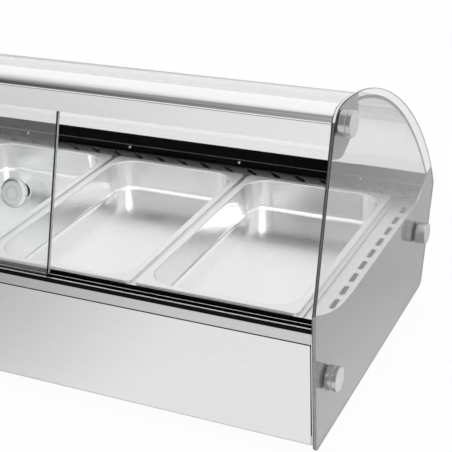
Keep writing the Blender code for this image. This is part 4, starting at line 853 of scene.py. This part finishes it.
def white_floor(name):
    """White to the eye and through glass, with the object's own soft shadow kept; in reflections
    it carries painted shade near the left front and behind to the right.
    """
    look = Shading(name)
    paper = look.add("BsdfDiffuse", {"Color": look.blend(
        look.span(look.noise(30.0, 2.0, 0.5), 0.0, 1.0), grey(0.95), grey(0.97))})
    # Painted shade seen only in reflections: darker round a spot to the left front and in a band
    # behind to the right.
    reach = look.measure("DISTANCE", look.place(), (-0.95, -0.65, 0.0))
    behind = look.measure("DOT_PRODUCT", look.place(), (0.60, 0.80, 0.0))
    near = look.maths("MAXIMUM", look.span(behind, 1.0, 0.60, 0.30, 0.65),
                      look.span(behind, 0.60, 1.0, 1.60, 2.40))
    painted_shade_strength = look.maths("MULTIPLY", look.span(reach, 0.05, 1.0, 0.0, 1.1), near)
    plain, painted_shade_emission = (look.add("Emission", {"Color": (*grey(1.0), 1.0),
                                                  "Strength": strength})
                            for strength in (1.0, painted_shade_strength))
    rays = look.rays()
    glossy, through = rays["Is Glossy Ray"], rays["Is Transmission Ray"]
    bounced = look.maths("MAXIMUM", look.maths("SUBTRACT", glossy, through))
    seen = look.maths("MAXIMUM", look.maths("MAXIMUM", rays["Is Camera Ray"], glossy), through)
    return look.done(look.mix(look.maths("MULTIPLY", seen, 0.93), paper,
                              look.mix(bounced, plain, painted_shade_emission)))


def clear_finish(name, colours, tint, shade):
    tint = scaled(colours.glass, tint)
    return finish(name, clear_glass, tint, scaled(tint, shade))


def edge_finish(colours):
    return finish("glass_edge", glass_edge, tuple(colours.edge))


def panel_finish(colours):
    return finish("panel_steel", brushed, tuple(colours.panel), colours.panel_roughness,
                  0, 1500.0, 0.07, 0.02)


def track_finish(colours):
    return finish("track_black", anodised, tuple(colours.track), 0.30)


def black_plastic():
    return finish("plastic_black", moulded, grey(0.018), 0.42)


# Geometry Nodes

class Growth(Wiring):
    """A geometry tree with a count, named sizes and named materials."""
    prefix = "GeometryNode"

    def __init__(self, name, sizes, materials):
        super().__init__(bpy.data.node_groups.new(name, "GeometryNodeTree"))
        labels = [("Geometry", "Geometry"), ("Count", "Int")]
        labels += [(size, "Float") for size in sizes]
        labels += [(material, "Material") for material in materials]
        self.tree.interface.new_socket("Geometry", in_out="OUTPUT",
                                       socket_type="NodeSocketGeometry")
        for label, kind in labels:
            self.tree.interface.new_socket(label, in_out="INPUT",
                                           socket_type="NodeSocket" + kind)
        self.given = self.node("NodeGroupInput").outputs

    def triple(self, **parts):
        return self.node("ShaderNodeCombineXYZ", parts)

    def placed(self, geometry, **how):
        return self.add("Transform", {"Geometry": geometry, **how})

    def dressed(self, geometry, label="Material"):
        return self.add("SetMaterial", {"Geometry": geometry, "Material": self.given[label]})

    def copied(self, piece, points, **turn):
        copies = self.add("InstanceOnPoints", {"Points": points, "Instance": piece, **turn})
        return self.add("RealizeInstances", {"Geometry": copies})

    def row(self, piece, axis):
        """Copies of a piece in a row along one axis."""
        line = self.add("MeshLine", {"Count": self.given["Count"],
                                     "Offset": self.triple(**{axis: self.given["Pitch"]})})
        return self.copied(piece, line)

    def done(self, geometry):
        self.node("NodeGroupOutput", {0: geometry})
        return self.tree


def grown(name, tree, values):
    """The plain mesh that a tree makes from its named inputs."""
    piece = linked(name, bpy.data.meshes.new(name))
    grow = put(piece.modifiers.new("grow", "NODES"), node_group=tree)
    for item in tree.interface.items_tree:
        if item.in_out == "INPUT" and item.name in values:
            grow[item.identifier] = values[item.name]
    return frozen(piece)


def slot_rims_tree():
    """A row of rolled rims round slots with rounded corners."""
    grow = Growth("Slot rims", ("Pitch", "Slot length", "Slot width", "Corner", "Rim", "Turn"),
                  ("Material",))
    box = grow.add("CurvePrimitiveQuadrilateral", {"Width": grow.given["Slot width"],
                                                   "Height": grow.given["Slot length"]})
    ends = grow.add("FilletCurve", {"Curve": box, "Radius": grow.given["Corner"], "Count": 6},
                    mode="POLY")
    wire = grow.add("CurvePrimitiveCircle", {"Resolution": 6, "Radius": grow.given["Rim"]})
    rim = grow.add("CurveToMesh", {"Curve": ends, "Profile Curve": wire})
    turned = grow.placed(rim, Rotation=grow.triple(Z=grow.given["Turn"]))
    smooth = grow.add("SetShadeSmooth", {"Geometry": grow.row(turned, "Y")})
    return grow.done(grow.dressed(smooth))


def screw_row_tree():
    """A row of countersunk screw heads, each with a thin black hexagon on top as painted shade
    for its socket, along X.
    """
    grow = Growth("Screw row", ("Pitch", "Radius"), ("Head", "Socket"))
    radius = grow.given["Radius"]
    head = grow.add("MeshCone", {"Vertices": 28, "Radius Bottom": radius, "Depth": 0.0016,
                                 "Radius Top": grow.maths("MULTIPLY", radius, 0.72)})
    # The socket is a thin dark hexagon on the head: painted shade standing in for the recess.
    socket = grow.add("MeshCylinder", {"Vertices": 6, "Depth": 0.0004,
                                       "Radius": grow.maths("MULTIPLY", radius, 0.36)})
    dark = grow.dressed(grow.placed(socket, Translation=(0.0, 0.0, 0.0016)), "Socket")
    screw = grow.add("JoinGeometry", {0: grow.dressed(head, "Head")})
    grow.tree.links.new(dark.outputs[0], screw.inputs[0])
    return grow.done(grow.row(screw, "X"))


def tick_ring_tree():
    """Scale marks round a dial, in its own plane."""
    grow = Growth("Tick ring", ("Radius", "Length", "Start", "Sweep"), ("Material",))
    given, maths = grow.given, grow.maths
    last = maths("SUBTRACT", given["Count"], 1.0)
    part = maths("DIVIDE", grow.add("InputIndex"), last)
    turn = maths("RADIANS", maths("ADD", maths("MULTIPLY", part, given["Sweep"]),
                                  given["Start"]))
    spot = grow.triple(X=maths("MULTIPLY", maths("SINE", turn), given["Radius"]),
                       Y=maths("MULTIPLY", maths("COSINE", turn), given["Radius"]))
    points = grow.add("SetPosition", {
        "Geometry": grow.add("MeshLine", {"Count": given["Count"]}), "Position": spot})
    mark = grow.add("MeshCube", {"Size": grow.triple(X=0.0007, Y=given["Length"], Z=0.0001)})
    lean = grow.triple(Z=maths("MULTIPLY", turn, -1.0))
    return grow.done(grow.dressed(grow.copied(mark, points, Rotation=lean)))


# Operators

class CaseOperator:
    """What every step has in common."""
    bl_options = {"REGISTER", "UNDO"}

    def execute(self, context):
        scene = context.scene
        self.build(scene.case_sizes, scene.case_colours, scene.case_stage)
        return {"FINISHED"}


class CASE_OT_side_glass(CaseOperator, bpy.types.Operator):
    """Both side glasses with their polished edges and their grey print"""
    bl_idname = "display_case.side_glass"
    bl_label = "Side glass"

    def build(self, sizes, colours, stage):
        holes = [circle(spot, STUD_HOLE_R) for spot in STANDOFFS.values()]
        middle_x = sizes.inner_half_x + sizes.pane / 2
        right = rounded(cut_plate("pane_right", [pane_outline()] + holes, sizes.pane,
                                  sizes.glass_arris, at((middle_x, 0.0, 0.0)) @ TO_SIDE), 0.0)
        finishes = (clear_finish("side_glass", colours, 0.98, 1.04), edge_finish(colours),
                    # The edge band is grey as painted light seen in the edge, with painted shade
                    # on its part nearer the middle.
                    finish("ground_edge", glass_edge, (0.10, 0.105, 0.105),
                           sizes.inner_half_x + 0.0019),
                    # Upward-facing edge faces get a lighter grey: a painted highlight.
                    finish("lit_edge", glass_edge, (0.62, 0.64, 0.63)),
                    finish("backed_edge", glass_edge, scaled(colours.printed, 0.85)))

        def choose(face):
            part = glass_part(face, Vector((1, 0, 0)))
            # Upward-facing edge faces take the painted highlight.
            if part == 2 and face.normal.z > 0.45:
                return 3
            backed = part == 2 or part == 1 and abs(face.center.x) > middle_x
            return 4 if backed and face.center.z < PRINT_FRONT_Z else part

        for piece, node in ((right, "side_glass_right"),
                            (mirrored(right, "pane_left"), "side_glass_left")):
            settle(clad(piece, *finishes, choose=choose), "glass", node)

        ink = finish("fired_print", fired_print, tuple(colours.printed))
        level = at((PRINT_X + PRINT_THICKNESS / 2, 0.0, 0.0)) @ TO_SIDE
        for name, outline, places in (("print_base", print_field(), ("rear", "front")),
                                      ("print_hood", print_patch(), ("upper",))):
            loops = [outline] + [circle(STANDOFFS[place], STUD_HOLE_R) for place in places]
            field = cut_plate(name + "_right", loops, PRINT_THICKNESS, 0.0, level)
            for piece in (field, mirrored(field, name + "_left")):
                settle(clad(piece, ink), "panel_steel")


class CASE_OT_standoffs(CaseOperator, bpy.types.Operator):
    """Six turned stand-off knobs that hold the side glass"""
    bl_idname = "display_case.standoffs"
    bl_label = "Stand-offs"

    def build(self, sizes, colours, stage):
        radius = sizes.standoff_radius
        base = sizes.pane + SEAT_GAP
        washer = base + WASHER_THICKNESS
        top = base + sizes.standoff_length
        dimple = radius * DIMPLE_SHARE
        waist = base + sizes.standoff_length * WAIST_SHARE
        end_x = sizes.inner_half_x + top - 0.0006
        for place, spot in STANDOFFS.items():
            reach = STUD_REACH[place]
            profile = [(0.0, top - DIMPLE_DEPTH), (dimple - RIM_CHAMFER, top - DIMPLE_DEPTH),
                       (dimple, top), (radius - RIM_CHAMFER, top), (radius, top - RIM_CHAMFER),
                       (radius, waist + 0.0008), (radius - WAIST_DEPTH, waist + 0.0004),
                       (radius - WAIST_DEPTH, waist - 0.0004), (radius, waist - 0.0008),
                       (radius, washer + FOOT_CHAMFER), (radius - FOOT_CHAMFER, washer),
                       (WASHER_R, washer), (WASHER_R, base), (STUD_R, base),
                       (STUD_R, -reach), (0.0, -reach)]
            centre = (sizes.inner_half_x, *spot)
            right = spun("knob_%s_right" % place, profile, at(centre, 90.0, "Y"), edge=SOFT_EDGE)
            metal = finish("turned_steel_" + place, lathe_turned, grey(0.52), 0.16, spot)
            front = finish("turned_face_" + place, satin_turned, grey(0.62), 0.32, centre)
            for piece, side in ((right, "right"),
                                (mirrored(right, "knob_%s_left" % place), "left")):
                clad(piece, metal, front, choose=lambda face: abs(face.center.x) > end_x)
                settle(piece, "chrome", "standoff_%s_%s" % (place, side))


class CASE_OT_bent_glass(CaseOperator, bpy.types.Operator):
    """Customer glass, bent in one sheet from the hood to the rear channel"""
    bl_idname = "display_case.bent_glass"
    bl_label = "Bent glass"

    def build(self, sizes, colours, stage):
        low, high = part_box("curved_glass")
        path = curve(BENT_START, BENT_START_WAY, Vector(BENT_END_DIRECTION) * BENT_END_PULL,
                     BENT_END, CURVE_STEPS)
        piece = rounded(swept("bent_pane", walled(path, sizes.pane), low[0], high[0]),
                        sizes.glass_arris, limit=50.0, smooth=30.0)
        clad(piece, clear_finish("clear_glass", colours, 1.05, 1.03), edge_finish(colours),
             choose=lambda face: (abs(face.normal.x) > 0.3
                                  or face.center.y < path[0][0] + 0.0006
                                  or face.center.z < path[-1][1] - 0.0002))
        settle(piece, "glass", "curved_glass")


class CASE_OT_hood(CaseOperator, bpy.types.Operator):
    """Rail and fascia of the hood, with the lamp, its housing and the end brackets"""
    bl_idname = "display_case.hood"
    bl_label = "Hood"

    def build(self, sizes, colours, stage):
        metal = finish("hood_metal", brushed, tuple(colours.hood), 0.30, 0, 1100.0, 0.04, 0.015)
        bright = finish("rail_metal", brushed, scaled(colours.hood, 1.1), 0.11, 0, 1100.0,
                        0.02, 0.01)
        quarter = arc((0.0, 0.0), 1.0, 180.0, 90.0, RAIL_STEPS)
        nose = [(RAIL_CREST_Y + RAIL_DEPTH * u, RAIL_FOOT_Z + RAIL_RISE * v)
                for u, v in quarter]
        crest = RAIL_FOOT_Z + RAIL_RISE
        fall = curve((RAIL_CREST_Y, crest), (0.014, 0.0), (0.010, -0.0009),
                     (RAIL_BACK_Y, crest - RAIL_BACK_DROP), 8)
        path = nose + fall[1:] + [(RAIL_BACK_Y, RAIL_LIP_Z)]
        low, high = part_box("hood_rail")
        rail = rounded(swept("rail", walled(path, SHEET), low[0], high[0]), sizes.sheet_edge,
                       limit=50.0)
        settle(clad(rail, bright), "hood_metal", "hood_rail")
        skin("hood_fascia", "fascia", metal, "hood_metal", sizes.sheet_edge)
        skin("lamp_housing", "lamp_tray",
             finish("lamp_enamel", enamelled, (0.80, 0.80, 0.77), 0.30), "lamp_white",
             sizes.sheet_edge)

        low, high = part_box("lamp_tube")
        half = high[0]
        radius = (high[2] - low[2]) / 2
        end = [(0.0, half), (0.0018, half), (0.0018, half - 0.0030),
               (radius * 0.9, half - 0.0034), (radius, half - 0.0050),
               (radius, half - LAMP_CAP), (radius - 0.0006, half - LAMP_CAP - 0.001)]
        tube = end + [(u, -v) for u, v in reversed(end)]
        middle = (0.0, (low[1] + high[1]) / 2, (low[2] + high[2]) / 2)
        lamp = spun("lamp_body", tube, at(middle, 90.0, "Y"), 40)
        clad(lamp, finish("lamp_glass", enamelled, (0.88, 0.88, 0.85), 0.18),
             finish("lamp_cap", polished, NICKEL, 0.22),
             choose=lambda face: abs(face.center.x) > half - LAMP_CAP - 0.0005)
        settle(lamp, "lamp_glass", "lamp_tube")
        for side in ("left", "right"):
            skin("lamp_holder_" + side, "lamp_end_" + side, black_plastic(), "plastic_black",
                 0.0012, 3)
        dress(finish("mill_aluminium", brushed, (0.62, 0.63, 0.64), 0.34, 1, 900.0, 0.08),
              "hood_bracket_left", "hood_bracket_right")


class CASE_OT_doors(CaseOperator, bpy.types.Operator):
    """Two leaning sliding doors, the chrome knob of one and the flush pull of the other"""
    bl_idname = "display_case.doors"
    bl_label = "Sliding doors"

    def build(self, sizes, colours, stage):
        half = DOOR_WIDTH / 2
        loop = [(-half, 0.0), (-half, DOOR_HEIGHT), (half, DOOR_HEIGHT), (half, 0.0)]
        knob_x = half - KNOB_EDGE
        knob_z = DOOR_HEIGHT * KNOB_HEIGHT_SHARE
        low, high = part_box("left_door_glass")
        front = at((DOOR_EDGE_X - half, FRONT_DOOR_Y, DOOR_FOOT_Z), -LEAN_DEGREES, "X")
        rear = at(((low[0] + high[0]) / 2, REAR_DOOR_Y, DOOR_FOOT_Z), -LEAN_DEGREES, "X")
        across = front.to_3x3() @ Vector((0, 1, 0))
        clear = clear_finish("door_glass", colours, 1.09, 1.02)
        pale = finish("pale_edge", glass_edge, (0.45, 0.47, 0.46))
        for side, matrix, rim, holes in (
                ("right", front, edge_finish(colours), [circle((knob_x, knob_z),
                                                               KNOB_HOLE_R, 32)]),
                ("left", rear, pale, [])):
            piece = rounded(cut_plate("door_" + side, [loop] + holes, sizes.door_pane,
                                      sizes.glass_arris * 0.6, matrix @ TO_DOOR), 0.0)
            clad(piece, clear, rim, rim, choose=lambda face: glass_part(face, across))
            settle(piece, "glass", side + "_door_glass", body=side + "_door")

        face = sizes.door_pane / 2 + SEAT_GAP
        rosette = face + ROSETTE_THICKNESS
        disc = rosette + KNOB_STAND
        top = disc + KNOB_HEAD
        profile = [(u, top - fall) for u, fall in KNOB_CROWN] + [
            (0.0262, disc + 0.0012), (0.0236, disc), (0.0150, disc - 0.0004),
            (0.0100, disc - 0.0016), (0.0087, disc - 0.0040), (0.0083, rosette + 0.0080),
            (0.0086, rosette + 0.0030), (0.0104, rosette), (0.0132, rosette),
            (0.0148, rosette - 0.0015), (0.0148, face), (0.0040, face),
            (0.0040, -sizes.door_pane / 2), (0.0, -sizes.door_pane / 2)]
        at_knob = front @ at((knob_x, 0.0, knob_z), 90.0, "X")
        back = at_knob.inverted()

        def choose(flat):
            height = (back @ flat.center).z
            washer = rosette - 0.0004 < height < rosette + 0.0030
            return 1 if washer else 2 if height > top - 0.0012 else 0

        knob = clad(spun("knob_door", profile, at_knob, edge=0.0004),
                    finish("chrome", polished, (0.72, 0.75, 0.75), 0.07),
                    finish("knob_washer", moulded, grey(0.015), 0.40),
                    finish("knob_face", satin_turned, (0.62, 0.64, 0.63), 0.42,
                           at_knob.translation), choose=choose)
        settle(knob, "chrome", "door_knob", body="right_door")
        satin = finish("pull_aluminium", brushed, (0.70, 0.70, 0.71), 0.28, 2, 1200.0, 0.06)
        skin("left_door_pull", "pull_left", satin, "aluminium", FINE_EDGE, body="left_door")


class CASE_OT_tracks(CaseOperator, bpy.types.Operator):
    """Black two-groove tracks over and under the doors"""
    bl_idname = "display_case.tracks"
    bl_label = "Tracks"

    def build(self, sizes, colours, stage):
        lip_grey = finish("worn_lip", brushed, grey(0.55), 0.30)
        floor = DOOR_FOOT_Z - DOOR_REST + 0.0010
        # Upward faces of the lower track's lips, above the groove floor, are grey steel instead
        # of black.
        for end, grey_from in (("lower", floor), ("upper", 1.0)):
            piece = clad(from_solid(end + "_track", "track_" + end, 0.0004),
                         track_finish(colours), lip_grey,
                         choose=lambda face: (face.normal.z > 0.9 and face.area < 0.01
                                              and face.center.z > grey_from))
            settle(piece, "track_black", end + "_track")


class CASE_OT_operator_panel(CaseOperator, bpy.types.Operator):
    """Operator panel, the strip above it and the controls"""
    bl_idname = "display_case.operator_panel"
    bl_label = "Operator panel"

    def build(self, sizes, colours, stage):
        strip_steel = finish("strip_steel", brushed, scaled(colours.panel, 0.78), 0.34)
        skin("front_panel", "panel_front", panel_finish(colours), "panel_steel",
             sizes.sheet_edge)
        skin("front_strip", "strip_front", strip_steel, "panel_steel", sizes.sheet_edge)
        black = black_plastic()
        green = finish("rocker_green", moulded, tuple(colours.power), 0.22, 900.0)
        for node, name, body, slot, material, width in (
                ("thermostat_knob", "dial", "thermostat_dial", "plastic_black", black, 0.0007),
                ("power_rocker", "rocker_heat", "power_switch", "green", green, SOFT_EDGE),
                ("light_rocker", "rocker_light", "light_switch", "plastic_black", black,
                 SOFT_EDGE),
                ("switch_housing", "switch_bezel", "case", "plastic_black", black,
                 SOFT_EDGE)):
            skin(node, name, material, slot, width, 3, body)
        ink = finish("scale_ink", moulded, grey(0.03), 0.5)
        ticks = grown("dial_scale", tick_ring_tree(), {"Material": ink, **DIAL_SCALE})
        ticks.data.transform(at((DIAL[0], FRONT_Y - 0.00005, DIAL[1]), 90.0, "X"))
        settle(ticks, "plastic_black")

        low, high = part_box("pilot_lamp")
        radius = (high[0] - low[0]) / 2
        proud = FRONT_Y - low[1]
        body = [(radius * part, proud - fall) for part, fall in PILOT_CROWN] + [
            (radius, 0.0004), (radius * 0.98, 0.0003), (0.0050, 0.0003),
            (0.0050, FRONT_Y - high[1]), (0.0, FRONT_Y - high[1])]
        lamp = spun("pilot", body, at((PILOT_X, FRONT_Y, DIAL[1]), 90.0, "X"), 40)
        clad(lamp, finish("amber_lens", lens, (0.85, 0.33, 0.03)),
             finish("pilot_bezel", polished, NICKEL, 0.15),
             choose=lambda face: (face.center.y > FRONT_Y or radius * 0.79 < hypot(
                 face.center.x - PILOT_X, face.center.z - DIAL[1])))
        settle(lamp, "amber", "pilot_lamp")


class CASE_OT_deck(CaseOperator, bpy.types.Operator):
    """Deck frame, slotted side grates and the bars between the pans"""
    bl_idname = "display_case.deck"
    bl_label = "Deck"

    def build(self, sizes, colours, stage):
        steel = finish("deck_steel", brushed, tuple(colours.deck), 0.40, 1, 1300.0, 0.07)
        for node, name in (("deck_frame", "deck_plate"), ("side_grate_left", "grate_left"),
                           ("side_grate_right", "grate_right"), ("crossbar_1", "bar_1"),
                           ("crossbar_2", "bar_2")):
            skin(node, name, steel, "deck_steel", FINE_EDGE)
        rims = grown("rims_right", slot_rims_tree(), {
            "Count": SLOT_COUNT, "Pitch": SLOT_PITCH, "Slot length": SLOT_LENGTH + sizes.slot_rim,
            "Slot width": SLOT_WIDTH + sizes.slot_rim, "Corner": SLOT_CORNER,
            "Rim": sizes.slot_rim, "Material": steel})
        start = SLOT_CENTRE_Y - SLOT_PITCH * (SLOT_COUNT - 1) / 2
        rims.data.transform(at((SLOT_X, start, DECK_Z)))
        for piece in (rims, mirrored(rims, "rims_left")):
            settle(piece, "deck_steel")
        dress(finish("well_steel", brushed, scaled(colours.deck, 0.85), 0.34, 0, 1000.0),
              "well_tub")


class CASE_OT_pans(CaseOperator, bpy.types.Operator):
    """Three full-size pans with wide flanges and turned-down lips"""
    bl_idname = "display_case.pans"
    bl_label = "Pans"

    def build(self, sizes, colours, stage):
        steel = finish("pan_steel", pressed, tuple(colours.pan), 0.20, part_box("pan_1")[1][2])
        floor = PAN_SHEET - PAN_DEPTH
        mouth = PAN_FLANGE - PAN_MOUTH_R
        foot = PAN_FLANGE + PAN_DRAFT + PAN_FLOOR_R
        lip = [(0.0, PAN_LIP_Z)] + arc((PAN_LIP_R, -PAN_LIP_R), PAN_LIP_R, 180.0, 90.0, 4)
        well = (arc((mouth, -PAN_MOUTH_R), PAN_MOUTH_R, 90.0, 0.0, 4)
                + arc((foot, floor + PAN_FLOOR_R), PAN_FLOOR_R, 180.0, 260.0, 4)
                + [(foot, floor)])
        rings = [(PAN_HALF[0] - inset, PAN_HALF[1] - inset, corner - inset, height)
                 for corner, section in ((PAN_CORNER, lip), (PAN_WELL_CORNER, well))
                 for inset, height in section]
        for i, body in enumerate(PAN_BODIES):
            centre = ((i - 1) * PAN_PITCH, PAN_CENTRE_Y, FLANGE_Z)
            pan = drawn_tray("tray_%d" % (i + 1), rings, centre, PAN_SHEET)
            settle(clad(pan, steel), "pan_steel", "pan_%d" % (i + 1), body=body)


class CASE_OT_rear(CaseOperator, bpy.types.Operator):
    """Rear air outlet with its slots, and the black channel of the bent glass"""
    bl_idname = "display_case.rear"
    bl_label = "Rear outlet and channel"

    def build(self, sizes, colours, stage):
        # The strip's steel is the deck's, scaled to 0.17 as painted shade, and darker still
        # toward its upper edge.
        steel = finish("outlet_steel", shade_painted_steel, scaled(colours.deck, 0.17), 0.26)
        skin("rear_outlet", "outlet", steel, "deck_steel", FINE_EDGE)
        # The outlet's slot rims are near-black steel: painted shade standing in for the dark
        # inside each slot.
        rims = grown("outlet_rims", slot_rims_tree(), {
            "Count": OUTLET_COUNT, "Pitch": OUTLET_PITCH, "Turn": -OUTLET_TILT, **OUTLET_SLOT,
            "Material": finish("slot_rim", brushed, scaled(colours.deck, 0.03), 0.36)})
        start = OUTLET_PITCH * (OUTLET_COUNT - 1) / 2
        rims.data.transform(at((0.0, *OUTLET_MIDDLE), OUTLET_SLOPE, "X")
                            @ at((-start, 0.0, 0.0), -90.0, "Z"))
        settle(rims, "deck_steel")
        skin("rear_channel", "channel", track_finish(colours), "track_black", 0.0004)
        low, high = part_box("rear_channel")
        # A thin grey ridge along the black channel: a painted highlight standing in for the light
        # on the channel's upper lip.
        outline = [(low[1] + out, HIGHLIGHT_LINE_Z + up) for out, up in (
            (-0.0003, -0.0004), (-0.0005, 0.0), (-0.0003, 0.0004), (0.0002, 0.0005),
            (0.0002, -0.0005))]
        highlight_line = swept("channel_highlight_line", outline, low[0], high[0])
        settle(clad(highlight_line, finish("bead_metal", brushed, grey(0.42), 0.30)), "track_black")
        screws = grown("channel_screws", screw_row_tree(), {
            "Count": SCREW_COUNT, "Pitch": SCREW_PITCH, "Radius": sizes.screw_head,
            "Head": finish("screw_steel", polished, grey(0.80), 0.18),
            # Black plastic here paints the shade in the screw sockets.
            "Socket": black_plastic()})
        start = -SCREW_PITCH * (SCREW_COUNT - 1) / 2
        screws.data.transform(at((start, low[1] + 0.0008, SCREW_Z), 90.0, "X"))
        settle(screws, "chrome")


class CASE_OT_base(CaseOperator, bpy.types.Operator):
    """Tray, rear and side panels, feet, and what works inside the base"""
    bl_idname = "display_case.base"
    bl_label = "Base"

    def build(self, sizes, colours, stage):
        steel = panel_finish(colours)
        skin("base_tray", "tray_base", steel, "panel_steel", sizes.sheet_edge)
        skin("rear_panel", "panel_rear", steel, "panel_steel", sizes.sheet_edge)
        rubber = finish("foot_rubber", moulded, grey(0.022), 0.62, 700.0)
        for end in ("front_left", "front_right", "rear_left", "rear_right"):
            low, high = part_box("foot_" + end)
            centre = ((low[0] + high[0]) / 2, (low[1] + high[1]) / 2, 0.0)
            top = high[2]
            profile = [(0.0, top), (0.0150, top), (0.0158, top - 0.0040), (0.0190, 0.0060),
                       (0.0190, 0.0020), (0.0184, 0.0006), (0.0170, 0.0), (0.0, 0.0)]
            foot = spun("foot_pad_" + end, profile, at(centre), 48, 0.0008)
            settle(clad(foot, rubber), "rubber", "foot_" + end)
        skin("cord_gland", "gland", black_plastic(), "plastic_black", 0.0004)
        rack = finish("rack_aluminium", brushed, (0.60, 0.61, 0.62), 0.38, 0, 900.0)
        for material, nodes in (
                (steel, ("side_panel_left", "side_panel_right")),
                (black_plastic(), ("thermostat_body",)),
                (finish("capillary", polished, (0.62, 0.45, 0.32), 0.25),
                 ("thermostat_sensor",)),
                (finish("sheath", heat_stained, (0.13, 0.125, 0.12)),
                 ("heater_1", "heater_2", "heater_3")),
                (rack, ("heater_rack_front", "heater_rack_rear")),
                (finish("wool", mineral_wool, (0.50, 0.42, 0.24)), ("insulation",)),
                (finish("ceramic", enamelled, (0.78, 0.77, 0.72), 0.35), ("terminal_block",))):
            dress(material, *nodes)


def room_light(stage):
    """White to the eye and through glass; metal also sees the dark side of the room."""
    world = bpy.data.worlds.new("room")
    bpy.context.scene.world = world
    world.use_nodes = True
    look = Wiring(world.node_tree)
    way = look.add("TexCoord").outputs["Generated"]
    side = look.maths("POWER", look.span(look.measure("DOT_PRODUCT", way, DARK_SIDE),
                                         0.0, 1.0, 0.30, 0.95), 1.5)
    gap = look.span(look.measure("DOT_PRODUCT", way, DARK_ABOVE), 0.0, 0.72, 0.92, 0.985)
    lost = look.maths("MULTIPLY", look.maths("MAXIMUM", side, gap), stage.dark_side)
    room, metal, white = (look.add("Background", {"Color": (1.0, 1.0, 1.0, 1.0),
                                                  "Strength": strength})
                          for strength in (stage.room, look.maths("SUBTRACT", 1.0, lost), 1.0))
    rays = look.rays()
    plain = look.maths("MAXIMUM", rays["Is Camera Ray"], rays["Is Transmission Ray"])
    shiny = look.mix(rays["Is Glossy Ray"], room, metal)
    look.add("OutputWorld", {"Surface": look.mix(plain, shiny, white)})


class CASE_OT_stage(CaseOperator, bpy.types.Operator):
    """Pale floor, white room with a dark side for metal, soft light and the camera"""
    bl_idname = "display_case.stage"
    bl_label = "Stage"

    def build(self, sizes, colours, stage):
        scene = bpy.context.scene
        scene.view_settings.view_transform = "Standard"
        mesh = bpy.data.meshes.new("floor")
        corners = ((-1, -1), (1, -1), (1, 1), (-1, 1))
        mesh.from_pydata([(FLOOR_HALF * u, FLOOR_HALF * v, 0.0) for u, v in corners], [],
                         [(0, 1, 2, 3)])
        floor = clad(linked("floor", mesh), finish("floor_paper", white_floor))

        room_light(stage)
        for name, spot, size, strength in (("key", (2.6, -2.6, 2.9), 1.9, stage.key),
                                           ("overhead", (-0.4, 0.3, 3.4), 2.6, stage.fill)):
            lamp = put(bpy.data.lights.new(name, "AREA"), shape="SQUARE", size=size,
                       energy=strength)
            aim = Vector(LAMP_AIM) - Vector(spot)
            put(linked(name, lamp), visible_glossy=False, location=spot,
                rotation_euler=aim.to_track_quat("-Z", "Y").to_euler())

        look = Vector((-sin(stage.heading) * cos(stage.pitch),
                       cos(stage.heading) * cos(stage.pitch), -sin(stage.pitch)))
        right = Vector((cos(stage.heading), sin(stage.heading), 0.0))
        up = right.cross(look)
        x_axis = right * cos(stage.roll) + up * sin(stage.roll)
        y_axis = up * cos(stage.roll) - right * sin(stage.roll)
        turn = Matrix((x_axis, y_axis, -look)).transposed().to_4x4()
        eye = put(bpy.data.cameras.new("eye"), sensor_width=36.0, lens=stage.lens, clip_end=60.0)
        scene.camera = put(linked("eye", eye), matrix_world=at(stage.eye) @ turn)


class CASE_PT_panel(bpy.types.Panel):
    """Steps of the display case"""
    bl_idname = "CASE_PT_panel"
    bl_label = "Display case"
    bl_space_type = "VIEW_3D"
    bl_region_type = "UI"
    bl_category = "Display case"

    def draw(self, context):
        column = self.layout.column()
        for step in STEPS:
            column.operator(step.bl_idname)


STEPS = (CASE_OT_side_glass, CASE_OT_standoffs, CASE_OT_bent_glass, CASE_OT_hood, CASE_OT_doors,
         CASE_OT_tracks, CASE_OT_operator_panel, CASE_OT_deck, CASE_OT_pans, CASE_OT_rear,
         CASE_OT_base, CASE_OT_stage)
GROUPS = (("case_sizes", CaseSizes), ("case_colours", CaseColours), ("case_stage", StageSettings))


def register():
    for name, group in GROUPS:
        bpy.utils.register_class(group)
        setattr(bpy.types.Scene, name, bpy.props.PointerProperty(type=group))
    for step in STEPS + (CASE_PT_panel,):
        bpy.utils.register_class(step)


def unregister():
    for step in (CASE_PT_panel,) + STEPS[::-1]:
        bpy.utils.unregister_class(step)
    for name, group in reversed(GROUPS):
        delattr(bpy.types.Scene, name)
        bpy.utils.unregister_class(group)


def main():
    register()
    for step in STEPS:
        family, call = step.bl_idname.split(".")
        getattr(getattr(bpy.ops, family), call)()
    bpy.context.view_layer.update()


if __name__ == "__main__":
    main()
